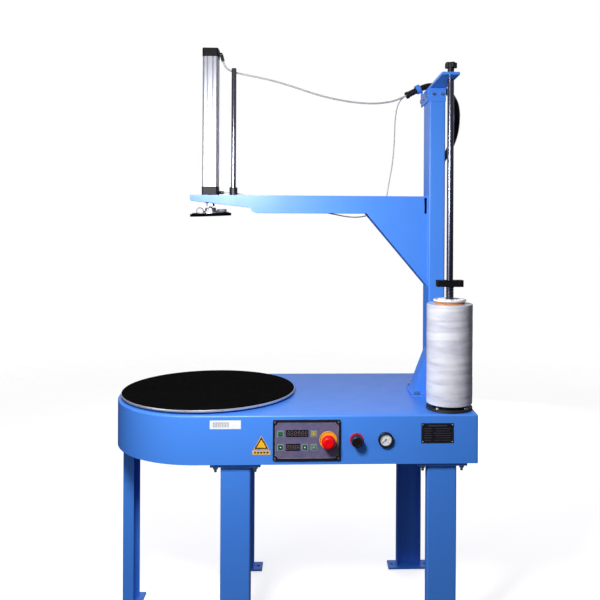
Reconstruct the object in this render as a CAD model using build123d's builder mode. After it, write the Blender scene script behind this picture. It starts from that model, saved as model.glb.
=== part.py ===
"""Table-height turntable stretch wrapper with a pneumatic top press.

Millimetres, +Z up, origin on the floor under the middle of the machine.
Places are given from the turntable's axis at the table top: x to the right,
y to the back and z up, and the planes below add the turntable's own place.
"""

import os
from math import cos, radians, sin, tan

from build123d import *

os.makedirs("parts", exist_ok=True)

# Turntable axis and table top in the machine's frame
TURN_X = -269
TURN_Y = 20
TABLE_Z = 700

# Cabinet
TABLE_R = 289
TABLE_END = 827
SKIRT = 144
SHEET = 3
BEND = 6

# Legs
LEG_WEB = 88
LEG_FLANGE = 35
LEG_WALL = 4
FLANGE_PLATE = 10
FOOT_PLATE = 6
FOOT_HOLE_R = 5.5
FOOT_HOLE_STEP = 60

# Turntable and belt drive
DISC_R = 280
DISC_Z = 6
DISC_THICK = 7
MAT_R = 278
MAT_THICK = 2
SHAFT_R = 12.5
DRIVEN_R = 120
DRIVE_R = 30
DRIVE_X = 290
BELT_LOW = -98
BELT_HIGH = -77
BELT_GAP = 0.3
BELT_THICK = 4
RUNNING = 0.05

# Column
COLUMN_X0 = 715
COLUMN_X1 = 768
COLUMN_Y0 = -58
COLUMN_Y1 = 60
COLUMN_TOP = 1000
COLUMN_WALL = 4
BASE_PLATE = 6
GUSSET_HIGH = 146
GUSSET_WIDE = 53
GUSSET_DEEP = 84

# Arm
ARM_TIP = -61
ARM_TOP = 649
ARM_Y0 = -42
ARM_Y1 = 54
ARM_PLATE = 5
ARM_SIDE = 4

# Press cylinder and plate
CAP_SIDE = 52
TUBE_SIDE = 50
CAP_HIGH = 28
TUBE_LOW = ARM_TOP + CAP_HIGH
TUBE_HIGH = 1103
PISTON_R = 19.92
BORE_R = 20
ROD_R = 8
GUIDE_X = 75
PRESS_PIVOT_Z = 606
PRESS_TILT = 2.3
PAD_R = 67

# Film spindle
SPINDLE_X = 754
SPINDLE_Y = -215
SPINDLE_R = 10
CORE_R = 45
CORE_BORE_R = 38
FILM_R = 70
CORE_LOW = 14.3
CORE_HIGH = 326
BRAKE_LOW = 369

# Control panel and front controls
FRONT_Y = -TABLE_R
PANEL_X = 322.5
PANEL_Z = -72
PANEL_WIDE = 197
PANEL_HIGH = 118
PANEL_FACE = FRONT_Y - 3
KEY_SIDE = 13
STOP_X = 385
REGULATOR_X = 468
GAUGE_X = 553
CONTROL_Z = -72

# Hoses
HOSE_R = 3
THIN_HOSE_R = 2
CONDUIT_R = 11
MOUTH = (665.6, 90, 1005)
MOUTH_TURN = 28.1
BUSH_LONG = 10


def level(x, y, z):
    """Horizontal plane, its normal up."""
    return Plane(origin=(TURN_X + x, TURN_Y + y, TABLE_Z + z))


def facing(x, y, z):
    """Upright plane whose normal looks to the front; local x is right and local y is up."""
    return Plane(origin=(TURN_X + x, TURN_Y + y, TABLE_Z + z), x_dir=(1, 0, 0), z_dir=(0, -1, 0))


def sideways(x, y, z):
    """Upright plane whose normal looks to the right; local x is back and local y is up."""
    return Plane(origin=(TURN_X + x, TURN_Y + y, TABLE_Z + z), x_dir=(0, 1, 0), z_dir=(1, 0, 0))


def leaning(x, y, z, direction):
    """Plane square to a direction."""
    return Plane(origin=(TURN_X + x, TURN_Y + y, TABLE_Z + z), z_dir=direction)


def finish(piece, name):
    """Label a finished piece and write it."""
    piece.part.label = name
    export_step(piece.part, f"parts/{name}.step")


# ---------------------------------------------------------------- cabinet

# Screws that hold the bottom cover: places of the tabs they go into
COVER_TABS = [(x, side * (TABLE_R - SHEET - 15)) for x in (240, 430, 590) for side in (-1, 1)]
COVER_TABS.append((TABLE_END - SHEET - 15, 0))
COVER_TOP = -SKIRT + SHEET
TAB_SIDE = 30

# Front controls that pass through the front sheet: place and hole radius
PANEL_CUT = 16
PANEL_SCREWS = [(sx * (PANEL_WIDE / 2 - 6), sz * (PANEL_HIGH / 2 - 6)) for sx in (-1, 1) for sz in (-1, 1)]
REGULATOR_HOLE_R = 15.3
GAUGE_HOLE_R = 20.3

# Bolts through the table top
HOUSING_PCR = 46
COLUMN_BOLTS = [(x, y) for x in (676, 807) for y in (-70, 71)]
SPINDLE_PCR = 60
M6_R = 3
M8_R = 4
M10_R = 5
FIT = 0.3

with BuildPart() as cabinet_shell:
    with BuildSketch(level(0, 0, -SKIRT)):
        Circle(TABLE_R)
        with Locations((TABLE_END / 2, 0)):
            Rectangle(TABLE_END, 2 * TABLE_R)
    extrude(amount=SKIRT)
    fillet(cabinet_shell.edges().filter_by(Axis.Z).sort_by(Axis.X)[-2:], BEND)
    fillet(cabinet_shell.faces().sort_by(Axis.Z)[-1].edges(), BEND)
    offset(amount=-SHEET, openings=cabinet_shell.faces().sort_by(Axis.Z)[0])
    with BuildSketch(level(0, 0, COVER_TOP)):
        with Locations(*COVER_TABS):
            Rectangle(TAB_SIDE, TAB_SIDE)
    extrude(amount=SHEET)
    with BuildSketch(level(0, 0, COVER_TOP - 1)):
        with Locations(*COVER_TABS):
            Circle(M6_R + FIT)
    extrude(amount=SHEET + 2, mode=Mode.SUBTRACT)
    with BuildSketch(level(0, 0, 1)):
        Circle(20)
        with PolarLocations(HOUSING_PCR, 4, start_angle=45):
            Circle(M6_R + FIT)
        with Locations(*COLUMN_BOLTS):
            Circle(M10_R + FIT)
        with Locations((741.5, 0)):
            Circle(20)
        with Locations((SPINDLE_X, SPINDLE_Y)):
            with PolarLocations(SPINDLE_PCR, 4, start_angle=45):
                Circle(M8_R + FIT)
    extrude(amount=-SHEET - 2, mode=Mode.SUBTRACT)
    with BuildSketch(facing(PANEL_X, FRONT_Y - 1, PANEL_Z)):
        Rectangle(PANEL_WIDE - PANEL_CUT, PANEL_HIGH - PANEL_CUT)
        with Locations(*PANEL_SCREWS):
            Circle(2 + FIT)
    extrude(amount=-SHEET - 2, mode=Mode.SUBTRACT)
    with BuildSketch(facing(0, FRONT_Y - 1, CONTROL_Z)):
        with Locations((REGULATOR_X, 0)):
            Circle(REGULATOR_HOLE_R)
        with Locations((GAUGE_X, 0)):
            Circle(GAUGE_HOLE_R)
    extrude(amount=-SHEET - 2, mode=Mode.SUBTRACT)
finish(cabinet_shell, "cabinet_shell")

# Legs: local x runs along the web and local y points into the machine
BOLT_X = 58
BOLT_Y = (-2, 70)
LEGS = {
    "leg_front_left": (114, -270, (1, 0, 0), 147),
    "leg_front_right": (723, -270, (1, 0, 0), 147),
    "leg_rear_left": (86, 270, (-1, 0, 0), 147),
    "leg_rear_right": (695, 270, (-1, 0, 0), 147),
    "leg_left_end": (-270, 0, (0, -1, 0), 120),
}
LEG_BOLTS = [(x, y) for x in (-BOLT_X, BOLT_X) for y in BOLT_Y]
END_LEG_BOLTS = [(x, y) for x in (-52, 52) for y in (5, 70)]


def leg_plane(x, y, along, z):
    return Plane(origin=(TURN_X + x, TURN_Y + y, TABLE_Z + z), x_dir=along, z_dir=(0, 0, 1))


def leg_bolts(name):
    return END_LEG_BOLTS if name == "leg_left_end" else LEG_BOLTS


INLETS = {"air": (560, 150, 4.1), "mains": (560, 215, 5.1)}
INLET_BODY_R = 9

with BuildPart() as bottom_cover:
    with BuildSketch(level(0, 0, -SKIRT)):
        Circle(TABLE_R - SHEET - FIT)
        with Locations((TABLE_END / 2, 0)):
            Rectangle(TABLE_END - 2 * SHEET - 2 * FIT, 2 * (TABLE_R - SHEET - FIT))
    extrude(amount=SHEET)
    fillet(bottom_cover.edges().filter_by(Axis.Z).sort_by(Axis.X)[-2:], BEND)
    with BuildSketch(level(0, 0, -SKIRT - 1)):
        with Locations(*COVER_TABS):
            Circle(M6_R + FIT)
        for x, y, bore in INLETS.values():
            with Locations((x, y)):
                Circle(INLET_BODY_R)
    extrude(amount=SHEET + 2, mode=Mode.SUBTRACT)
    for leg_name, (x, y, along, _) in LEGS.items():
        with BuildSketch(leg_plane(x, y, along, -SKIRT - 1)):
            with Locations(*leg_bolts(leg_name)):
                Circle(M8_R + FIT)
        extrude(amount=SHEET + 2, mode=Mode.SUBTRACT)
finish(bottom_cover, "bottom_cover")

LEG_TOP = -SKIRT - FLANGE_PLATE
for leg_name, (leg_x, leg_y, along, plate_wide) in LEGS.items():
    with BuildPart() as leg:
        with BuildSketch(leg_plane(leg_x, leg_y, along, FOOT_PLATE - TABLE_Z)):
            with Locations((0, LEG_FLANGE / 2)):
                Rectangle(LEG_WEB, LEG_FLANGE)
            with Locations((0, LEG_FLANGE / 2 + LEG_WALL)):
                Rectangle(LEG_WEB - 2 * LEG_WALL, LEG_FLANGE, mode=Mode.SUBTRACT)
        extrude(amount=TABLE_Z - FOOT_PLATE + LEG_TOP)
        fillet(leg.edges().filter_by(Axis.Z).group_by(SortBy.LENGTH)[-1].sort_by(
            lambda edge: leg_plane(leg_x, leg_y, along, 0).to_local_coords(edge.center()).Y)[:2], 5)
        with BuildSketch(leg_plane(leg_x, leg_y, along, LEG_TOP)):
            with Locations((0, 36)):
                Rectangle(plate_wide, 92)
            with Locations(*leg_bolts(leg_name)):
                Circle(M8_R + FIT, mode=Mode.SUBTRACT)
        extrude(amount=FLANGE_PLATE)
        with BuildSketch(leg_plane(leg_x, leg_y, along, -TABLE_Z)):
            with Locations((0, 20)):
                Rectangle(150, 60)
            with Locations((-FOOT_HOLE_STEP, 20), (FOOT_HOLE_STEP, 20)):
                Circle(FOOT_HOLE_R, mode=Mode.SUBTRACT)
        extrude(amount=FOOT_PLATE)
    finish(leg, leg_name)

# ---------------------------------------------------------------- turntable and drive

with BuildPart() as turntable_disc:
    with BuildSketch(level(0, 0, DISC_Z)):
        Circle(DISC_R)
    extrude(amount=DISC_THICK)
    fillet(turntable_disc.edges().filter_by(GeomType.CIRCLE), 1.2)
finish(turntable_disc, "turntable_disc")

with BuildPart() as turntable_mat:
    with BuildSketch(level(0, 0, DISC_Z + DISC_THICK)):
        Circle(MAT_R)
    extrude(amount=MAT_THICK)
    chamfer(turntable_mat.edges().group_by(Axis.Z)[-1], 0.6)
finish(turntable_mat, "turntable_mat")

SHAFT_LOW = -104
with BuildPart() as turntable_shaft:
    with BuildSketch(level(0, 0, SHAFT_LOW)):
        Circle(SHAFT_R)
    extrude(amount=-SHAFT_LOW + 1)
    with BuildSketch(level(0, 0, 1)):
        Circle(40)
    extrude(amount=DISC_Z - 1)
finish(turntable_shaft, "turntable_shaft")

HOUSING_LOW = -45
with BuildPart() as bearing_housing:
    with BuildSketch(level(0, 0, HOUSING_LOW)):
        Circle(35)
    extrude(amount=-HOUSING_LOW - SHEET)
    with BuildSketch(level(0, 0, -SHEET)):
        Circle(55)
    extrude(amount=-8)
    with BuildSketch(level(0, 0, -SHEET + 1)):
        Circle(SHAFT_R + RUNNING)
    extrude(amount=HOUSING_LOW, mode=Mode.SUBTRACT)
    with BuildSketch(level(0, 0, -SHEET + 1)):
        with PolarLocations(HOUSING_PCR, 4, start_angle=45):
            Circle(M6_R + FIT)
    extrude(amount=-8 - 2, mode=Mode.SUBTRACT)
finish(bearing_housing, "bearing_housing")

RIM = 2
with BuildPart() as driven_pulley:
    with BuildSketch(level(0, 0, BELT_LOW - RIM)):
        Circle(DRIVEN_R)
    extrude(amount=BELT_HIGH - BELT_LOW + 2 * RIM)
    with BuildSketch(level(0, 0, BELT_LOW - RIM), level(0, 0, BELT_HIGH)):
        Circle(DRIVEN_R + BELT_THICK)
    extrude(amount=RIM - BELT_GAP)
    with BuildSketch(level(0, 0, BELT_HIGH + RIM)):
        Circle(DRIVEN_R - 15)
        Circle(26, mode=Mode.SUBTRACT)
    extrude(amount=-8, mode=Mode.SUBTRACT)
    with BuildSketch(level(0, 0, BELT_LOW - RIM)):
        with PolarLocations(68, 6):
            Circle(20)
        Circle(SHAFT_R)
    extrude(amount=BELT_HIGH - BELT_LOW + 2 * RIM, mode=Mode.SUBTRACT)
finish(driven_pulley, "driven_pulley")

DRIVE_SHAFT_R = 8
with BuildPart() as drive_pulley:
    with BuildSketch(level(DRIVE_X, 0, BELT_LOW - RIM)):
        Circle(DRIVE_R)
    extrude(amount=BELT_HIGH - BELT_LOW + 2 * RIM)
    with BuildSketch(level(DRIVE_X, 0, BELT_LOW - RIM), level(DRIVE_X, 0, BELT_HIGH)):
        Circle(DRIVE_R + BELT_THICK)
    extrude(amount=RIM - BELT_GAP)
    with BuildSketch(level(DRIVE_X, 0, BELT_HIGH + RIM)):
        Circle(DRIVE_SHAFT_R)
    extrude(amount=19)
finish(drive_pulley, "drive_pulley")

with BuildPart() as drive_belt:
    for gap, operation in ((BELT_GAP + BELT_THICK, Mode.ADD), (BELT_GAP, Mode.SUBTRACT)):
        with BuildSketch(level(0, 0, BELT_LOW)):
            Circle(DRIVEN_R + gap)
            with Locations((DRIVE_X, 0)):
                Circle(DRIVE_R + gap)
            make_hull()
        extrude(amount=BELT_HIGH - BELT_LOW, mode=operation)
finish(drive_belt, "drive_belt")

GEARBOX_LOW = -68
GEARBOX_SIDE = 90
MOTOR_R = 37
with BuildPart() as gear_motor:
    with BuildSketch(level(DRIVE_X, 0, GEARBOX_LOW)):
        Rectangle(GEARBOX_SIDE, GEARBOX_SIDE)
    extrude(amount=-8 - GEARBOX_LOW)
    fillet(gear_motor.edges().filter_by(Axis.Z), 8)
    with BuildSketch(level(DRIVE_X, 0, -8)):
        RectangleRounded(120, 110, 8)
    extrude(amount=5)
    with BuildSketch(level(DRIVE_X, 0, GEARBOX_LOW)):
        Circle(DRIVE_SHAFT_R + RUNNING)
    extrude(amount=16, mode=Mode.SUBTRACT)
    with BuildSketch(sideways(DRIVE_X + GEARBOX_SIDE / 2, 0, -42)):
        Circle(MOTOR_R)
    extrude(amount=180)
    fillet(gear_motor.faces().sort_by(Axis.X)[-1].edges(), 6)
finish(gear_motor, "gear_motor")

# ---------------------------------------------------------------- column

COLUMN_MID = (COLUMN_X0 + COLUMN_X1) / 2
COLUMN_WIDE = COLUMN_X1 - COLUMN_X0
COLUMN_DEEP = COLUMN_Y1 - COLUMN_Y0
COLUMN_Y = (COLUMN_Y0 + COLUMN_Y1) / 2
BOX_Z = 600
CABLE_HOLE_R = 9

with BuildPart() as column:
    with BuildSketch(level(COLUMN_MID, COLUMN_Y, BASE_PLATE)):
        RectangleRounded(COLUMN_WIDE, COLUMN_DEEP, 5)
        RectangleRounded(COLUMN_WIDE - 2 * COLUMN_WALL, COLUMN_DEEP - 2 * COLUMN_WALL, 2, mode=Mode.SUBTRACT)
    extrude(amount=COLUMN_TOP - BASE_PLATE)
    with BuildSketch(level(COLUMN_MID, COLUMN_Y, 0)):
        Rectangle(COLUMN_WIDE + 2 * GUSSET_WIDE, COLUMN_DEEP + 40)
    extrude(amount=BASE_PLATE)
    for side in (-1, 1):
        wall = COLUMN_MID + side * COLUMN_WIDE / 2
        toe = wall + side * GUSSET_WIDE
        with BuildSketch(facing(0, COLUMN_Y0 + GUSSET_DEEP, 0)):
            with BuildLine():
                Polyline((wall, BASE_PLATE), (toe, BASE_PLATE), (wall, GUSSET_HIGH), close=True)
            make_face()
        extrude(amount=GUSSET_DEEP)
        hollow = 1 - 2.6 * COLUMN_WALL / GUSSET_WIDE
        with BuildSketch(facing(0, COLUMN_Y0 + GUSSET_DEEP - COLUMN_WALL, 0)):
            with BuildLine():
                Polyline(
                    (wall, BASE_PLATE),
                    (wall + side * GUSSET_WIDE * hollow, BASE_PLATE),
                    (wall, BASE_PLATE + (GUSSET_HIGH - BASE_PLATE) * hollow),
                    close=True,
                )
            make_face()
        extrude(amount=GUSSET_DEEP - 2 * COLUMN_WALL, mode=Mode.SUBTRACT)
    with BuildSketch(level(0, 0, -1)):
        with Locations(*COLUMN_BOLTS):
            Circle(M10_R + FIT)
        with Locations((COLUMN_MID, 0)):
            Circle(20)
    extrude(amount=BASE_PLATE + 2, mode=Mode.SUBTRACT)
    with BuildSketch(facing(COLUMN_MID, COLUMN_Y1 + 1, BOX_Z)):
        Circle(CABLE_HOLE_R)
    extrude(amount=COLUMN_WALL + 2, mode=Mode.SUBTRACT)
    with BuildSketch(facing(COLUMN_MID, COLUMN_Y0 - 1, 980)):
        with Locations((-14, 0), (14, 0)):
            Circle(M6_R + FIT)
    extrude(amount=-COLUMN_WALL - 2, mode=Mode.SUBTRACT)
    with BuildSketch(sideways(COLUMN_X0 - 1, 0, 981)):
        with Locations((-32, 0), (32, 0)):
            Circle(M6_R + FIT)
    extrude(amount=COLUMN_WALL + 2, mode=Mode.SUBTRACT)
finish(column, "column")

# Small terminal box on the back of the column, with the conduit's gland on its top
BOX_WIDE = 60
BOX_DEEP = 52
BOX_HIGH = 70
BOX_TOP = BOX_Z + BOX_HIGH / 2
CONDUIT_END = (745.5, 88, 653)
with BuildPart() as junction_box:
    with BuildSketch(facing(COLUMN_MID, COLUMN_Y1 + BOX_DEEP, BOX_Z)):
        RectangleRounded(BOX_WIDE, BOX_HIGH, 5)
    extrude(amount=BOX_DEEP)
    fillet(junction_box.faces().sort_by(Axis.Y)[-1].edges(), 3)
    with BuildSketch(facing(COLUMN_MID, COLUMN_Y1 + BOX_DEEP - 3, BOX_Z)):
        Rectangle(BOX_WIDE - 6, BOX_HIGH - 6)
    extrude(amount=BOX_DEEP - 6, mode=Mode.SUBTRACT)
    with BuildSketch(facing(COLUMN_MID, COLUMN_Y1 + 4, BOX_Z)):
        Circle(CABLE_HOLE_R)
    extrude(amount=5, mode=Mode.SUBTRACT)
    with BuildSketch(level(CONDUIT_END[0], CONDUIT_END[1], BOX_TOP)):
        RegularPolygon(16, 6)
    extrude(amount=8)
    with BuildSketch(level(CONDUIT_END[0], CONDUIT_END[1], BOX_TOP + 8)):
        Circle(14)
    extrude(amount=CONDUIT_END[2] - BOX_TOP - 8)
    with BuildSketch(level(CONDUIT_END[0], CONDUIT_END[1], CONDUIT_END[2])):
        Circle(7)
    extrude(amount=BOX_TOP - 5 - CONDUIT_END[2], mode=Mode.SUBTRACT)
finish(junction_box, "junction_box")

# Angle bracket that reaches forward from the column's top to hold the spindle
BRACKET_FRONT = -285
BRACKET_THICK = 8
FLANGE_THICK = 6
with BuildPart() as spindle_bracket:
    with BuildSketch(level(COLUMN_MID, (BRACKET_FRONT + COLUMN_Y1) / 2, COLUMN_TOP)):
        Rectangle(COLUMN_WIDE, COLUMN_Y1 - BRACKET_FRONT)
    extrude(amount=BRACKET_THICK)
    fillet(spindle_bracket.edges().filter_by(Axis.Z), 2)
    with BuildSketch(facing(COLUMN_MID, COLUMN_Y0, 979)):
        Rectangle(COLUMN_WIDE, 42)
        with Locations((-14, 1), (14, 1)):
            Circle(M6_R + FIT, mode=Mode.SUBTRACT)
    extrude(amount=FLANGE_THICK)
    with BuildSketch(level(SPINDLE_X, SPINDLE_Y, COLUMN_TOP - 1)):
        Circle(SPINDLE_R + FIT)
    extrude(amount=BRACKET_THICK + 2, mode=Mode.SUBTRACT)
finish(spindle_bracket, "spindle_bracket")

# Flat bracket on the column's left side with the ring that clips the conduit
MOUTH_OUT = (-cos(radians(MOUTH_TURN)), 0, -sin(radians(MOUTH_TURN)))
CLIP = (700, 90, MOUTH[2] + (700 - MOUTH[0]) * tan(radians(MOUTH_TURN)))
BRACKET_X = COLUMN_X0 - 4
with BuildPart() as conduit_bracket:
    with BuildSketch(sideways(BRACKET_X, 0, 0)):
        with BuildLine():
            Polyline(
                (-50, 972), (-50, 1000), (78, 1000), (78, 1014), (104, 1014), (108, 985), (96, 962), (-40, 962),
                close=True,
            )
        make_face()
        with Locations((-32, 981), (32, 981), (92, 981)):
            Circle(M6_R + FIT, mode=Mode.SUBTRACT)
    extrude(amount=4)
    with BuildSketch(leaning(*CLIP, MOUTH_OUT)):
        Circle(CONDUIT_R + 4.5)
    extrude(amount=8, both=True)
    with BuildSketch(leaning(*CLIP, MOUTH_OUT)):
        Circle(CONDUIT_R + FIT)
    extrude(amount=30, both=True, mode=Mode.SUBTRACT)
finish(conduit_bracket, "conduit_bracket")

# ---------------------------------------------------------------- film spindle

HUB_R = CORE_BORE_R - 0.3
with BuildPart() as spindle_base:
    with BuildSketch(level(SPINDLE_X, SPINDLE_Y, 0)):
        Circle(70)
    extrude(amount=8)
    fillet(spindle_base.edges().group_by(Axis.Z)[-1], 1.5)
    with BuildSketch(level(SPINDLE_X, SPINDLE_Y, 8)):
        Circle(50)
    extrude(amount=6)
    with BuildSketch(level(SPINDLE_X, SPINDLE_Y, 14)):
        Circle(HUB_R)
    extrude(amount=30)
    chamfer(spindle_base.edges().group_by(Axis.Z)[-1], 3)
    with BuildSketch(level(SPINDLE_X, SPINDLE_Y, 0)):
        Circle(SPINDLE_R)
        with PolarLocations(SPINDLE_PCR, 4, start_angle=45):
            Circle(M8_R + FIT)
    extrude(amount=44, mode=Mode.SUBTRACT)
finish(spindle_base, "spindle_base")

KNOB_LOW = COLUMN_TOP + BRACKET_THICK
STUD_R = 5
with BuildPart() as spindle_rod:
    with BuildSketch(level(SPINDLE_X, SPINDLE_Y, 0)):
        Circle(SPINDLE_R)
    extrude(amount=KNOB_LOW)
    with BuildSketch(level(SPINDLE_X, SPINDLE_Y, KNOB_LOW)):
        Circle(STUD_R)
    extrude(amount=28)
finish(spindle_rod, "spindle_rod")

KNOB_HEAD = 1034
KNOB_TOP = 1050
with BuildPart() as spindle_knob:
    with BuildSketch(level(SPINDLE_X, SPINDLE_Y, KNOB_LOW + FIT)):
        Circle(SPINDLE_R)
    extrude(amount=KNOB_HEAD - KNOB_LOW)
    with BuildSketch(level(SPINDLE_X, SPINDLE_Y, KNOB_HEAD)):
        Circle(15)
        with PolarLocations(13, 5):
            Circle(6)
    extrude(amount=KNOB_TOP - KNOB_HEAD)
    fillet(spindle_knob.edges().group_by(Axis.Z)[-1], 2.5)
    with BuildSketch(level(SPINDLE_X, SPINDLE_Y, KNOB_LOW)):
        Circle(STUD_R + RUNNING)
    extrude(amount=30, mode=Mode.SUBTRACT)
finish(spindle_knob, "spindle_knob")

with BuildPart() as film_core:
    with BuildSketch(level(SPINDLE_X, SPINDLE_Y, CORE_LOW)):
        Circle(CORE_R)
        Circle(CORE_BORE_R, mode=Mode.SUBTRACT)
    extrude(amount=CORE_HIGH - CORE_LOW)
finish(film_core, "film_core")

FILM_LOW = 18
FILM_HIGH = 318
with BuildPart() as film_roll:
    with BuildSketch(level(SPINDLE_X, SPINDLE_Y, FILM_LOW)):
        Circle(FILM_R)
        Circle(CORE_R, mode=Mode.SUBTRACT)
    extrude(amount=FILM_HIGH - FILM_LOW)
    fillet(film_roll.edges().filter_by(GeomType.CIRCLE).group_by(SortBy.RADIUS)[-1], 2)
finish(film_roll, "film_roll")

with BuildPart() as core_flange:
    with BuildSketch(level(SPINDLE_X, SPINDLE_Y, CORE_HIGH)):
        Circle(50)
    extrude(amount=5)
    fillet(core_flange.edges().filter_by(GeomType.CIRCLE), 1.5)
    with BuildSketch(level(SPINDLE_X, SPINDLE_Y, CORE_HIGH)):
        Circle(CORE_BORE_R)
    extrude(amount=-15)
    with BuildSketch(level(SPINDLE_X, SPINDLE_Y, CORE_HIGH + 6)):
        Circle(SPINDLE_R + 0.1)
    extrude(amount=-22, mode=Mode.SUBTRACT)
finish(core_flange, "core_flange")

WIRE_R = 1.1
SPRING_LOW = CORE_HIGH + 5 + FIT
with BuildPart() as brake_spring:
    with BuildLine(level(SPINDLE_X, SPINDLE_Y, SPRING_LOW + WIRE_R)):
        coil = Helix(pitch=5, height=BRAKE_LOW - SPRING_LOW - 2 * WIRE_R - FIT, radius=SPINDLE_R + 1.5)
    with BuildSketch(Plane(origin=coil @ 0, z_dir=coil % 0)):
        Circle(WIRE_R)
    sweep()
finish(brake_spring, "brake_spring")

BLOCK_WIDE = 80
BLOCK_DEEP = 30
BLOCK_HIGH = 20
SCREW_OFF = 30
with BuildPart() as brake_block:
    with BuildSketch(level(SPINDLE_X, SPINDLE_Y, BRAKE_LOW)):
        RectangleRounded(BLOCK_WIDE, BLOCK_DEEP, 2)
        Circle(SPINDLE_R + RUNNING, mode=Mode.SUBTRACT)
        with Locations((BLOCK_WIDE / 4 + SPINDLE_R / 2, 0)):
            Rectangle(BLOCK_WIDE / 2 - SPINDLE_R + 6, 1.5, mode=Mode.SUBTRACT)
    extrude(amount=BLOCK_HIGH)
    with BuildSketch(facing(SPINDLE_X + SCREW_OFF, SPINDLE_Y - BLOCK_DEEP / 2, BRAKE_LOW + BLOCK_HIGH / 2)):
        Circle(M6_R + FIT)
    extrude(amount=-BLOCK_DEEP, mode=Mode.SUBTRACT)
finish(brake_block, "brake_block")

with BuildPart() as brake_screw:
    with BuildSketch(facing(SPINDLE_X + SCREW_OFF, SPINDLE_Y - BLOCK_DEEP / 2 - FIT, BRAKE_LOW + BLOCK_HIGH / 2)):
        Circle(5.5)
    extrude(amount=6)
    chamfer(brake_screw.faces().sort_by(Axis.Y)[0].edges(), 0.6)
    with BuildSketch(facing(SPINDLE_X + SCREW_OFF, SPINDLE_Y - BLOCK_DEEP / 2 - 6, BRAKE_LOW + BLOCK_HIGH / 2)):
        RegularPolygon(2.9, 6)
    extrude(amount=-3.5 + 8, mode=Mode.SUBTRACT)
    with BuildSketch(facing(SPINDLE_X + SCREW_OFF, SPINDLE_Y - BLOCK_DEEP / 2 - FIT, BRAKE_LOW + BLOCK_HIGH / 2)):
        Circle(M6_R)
    extrude(amount=-24)
finish(brake_screw, "brake_screw")

# ---------------------------------------------------------------- arm

DIAGONAL_TOP = (513, 592)
DIAGONAL_LOW = (COLUMN_X0, 353)
FLANGE_START = (530, 571.9)
ARM_DEEP = ARM_Y1 - ARM_Y0
ARM_MID = (ARM_Y0 + ARM_Y1) / 2
STEP_HIGH = (126, 610.3)
STEP_LOW = (152, 592)
BUSHING_R = 13
HOSE_SLOT = (132, 24.5)
DROP_HOLE = (588, 33)

with BuildPart() as arm:
    for side_y in (ARM_Y1, ARM_Y0 + ARM_SIDE):
        with BuildSketch(facing(0, side_y, 0)):
            with BuildLine():
                Line((ARM_TIP, ARM_TOP), (ARM_TIP, 631))
                Line((ARM_TIP, 631), STEP_HIGH)
                Spline(STEP_HIGH, STEP_LOW, tangents=((1, -0.11), (1, 0)))
                Polyline(STEP_LOW, DIAGONAL_TOP, DIAGONAL_LOW, (COLUMN_X0, ARM_TOP), (ARM_TIP, ARM_TOP))
            make_face()
        extrude(amount=ARM_SIDE)
    with BuildSketch(level((ARM_TIP + COLUMN_X0) / 2, ARM_MID, ARM_TOP - ARM_PLATE)):
        Rectangle(COLUMN_X0 - ARM_TIP, ARM_DEEP)
    extrude(amount=ARM_PLATE)
    with BuildSketch(sideways(ARM_TIP, ARM_MID, 640)):
        Rectangle(ARM_DEEP, 18)
    extrude(amount=ARM_SIDE)
    with BuildSketch(facing(0, ARM_Y1, 0)):
        with BuildLine():
            Polyline(
                FLANGE_START, DIAGONAL_LOW, (DIAGONAL_LOW[0], DIAGONAL_LOW[1] + 6.2),
                (FLANGE_START[0] + 3, FLANGE_START[1] + 2.6), close=True,
            )
        make_face()
    extrude(amount=ARM_DEEP)
    with BuildSketch(level(0, 0, ARM_TOP)):
        Circle(ROD_R + 3)
        with Locations((GUIDE_X, 0)):
            Circle(BUSHING_R)
        with Locations(HOSE_SLOT):
            SlotOverall(56, 11)
        with Locations(DROP_HOLE):
            Circle(7)
    extrude(amount=-ARM_PLATE, mode=Mode.SUBTRACT)
    with BuildSketch(facing(707, ARM_Y0 + ARM_SIDE, 618)):
        SlotOverall(53, 8, rotation=90)
    extrude(amount=ARM_SIDE, mode=Mode.SUBTRACT)
finish(arm, "arm")

# ---------------------------------------------------------------- press cylinder

with BuildPart() as cylinder_tube:
    with BuildSketch(level(0, 0, TUBE_LOW)):
        RectangleRounded(TUBE_SIDE, TUBE_SIDE, 7)
        with PolarLocations(TUBE_SIDE / 2, 4):
            with Locations((0, -9), (0, 9)):
                Circle(2, mode=Mode.SUBTRACT)
        Circle(BORE_R, mode=Mode.SUBTRACT)
    extrude(amount=TUBE_HIGH - TUBE_LOW)
finish(cylinder_tube, "cylinder_tube")

CAP_SCREWS = [(x, y) for x in (-19, 19) for y in (-19, 19)]
ROD_BORE = ROD_R + RUNNING
CAP_HOLE = 15
with BuildPart() as cylinder_lower_cap:
    with BuildSketch(level(0, 0, ARM_TOP)):
        RectangleRounded(CAP_SIDE, CAP_SIDE, 6)
        Circle(ROD_BORE, mode=Mode.SUBTRACT)
    extrude(amount=CAP_HIGH)
    fillet(cylinder_lower_cap.faces().filter_by(Axis.Z).sort_by(Axis.Z)[-1].outer_wire().edges(), 1.5)
finish(cylinder_lower_cap, "cylinder_lower_cap")

with BuildPart() as cylinder_upper_cap:
    with BuildSketch(level(0, 0, TUBE_HIGH)):
        RectangleRounded(CAP_SIDE, CAP_SIDE, 6)
    extrude(amount=CAP_HIGH)
    fillet(cylinder_upper_cap.faces().sort_by(Axis.Z)[-1].edges(), 2)
    with BuildSketch(level(0, 0, TUBE_HIGH + CAP_HIGH)):
        with Locations(*CAP_SCREWS):
            Circle(4.3)
    extrude(amount=-5, mode=Mode.SUBTRACT)
finish(cylinder_upper_cap, "cylinder_upper_cap")

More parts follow.
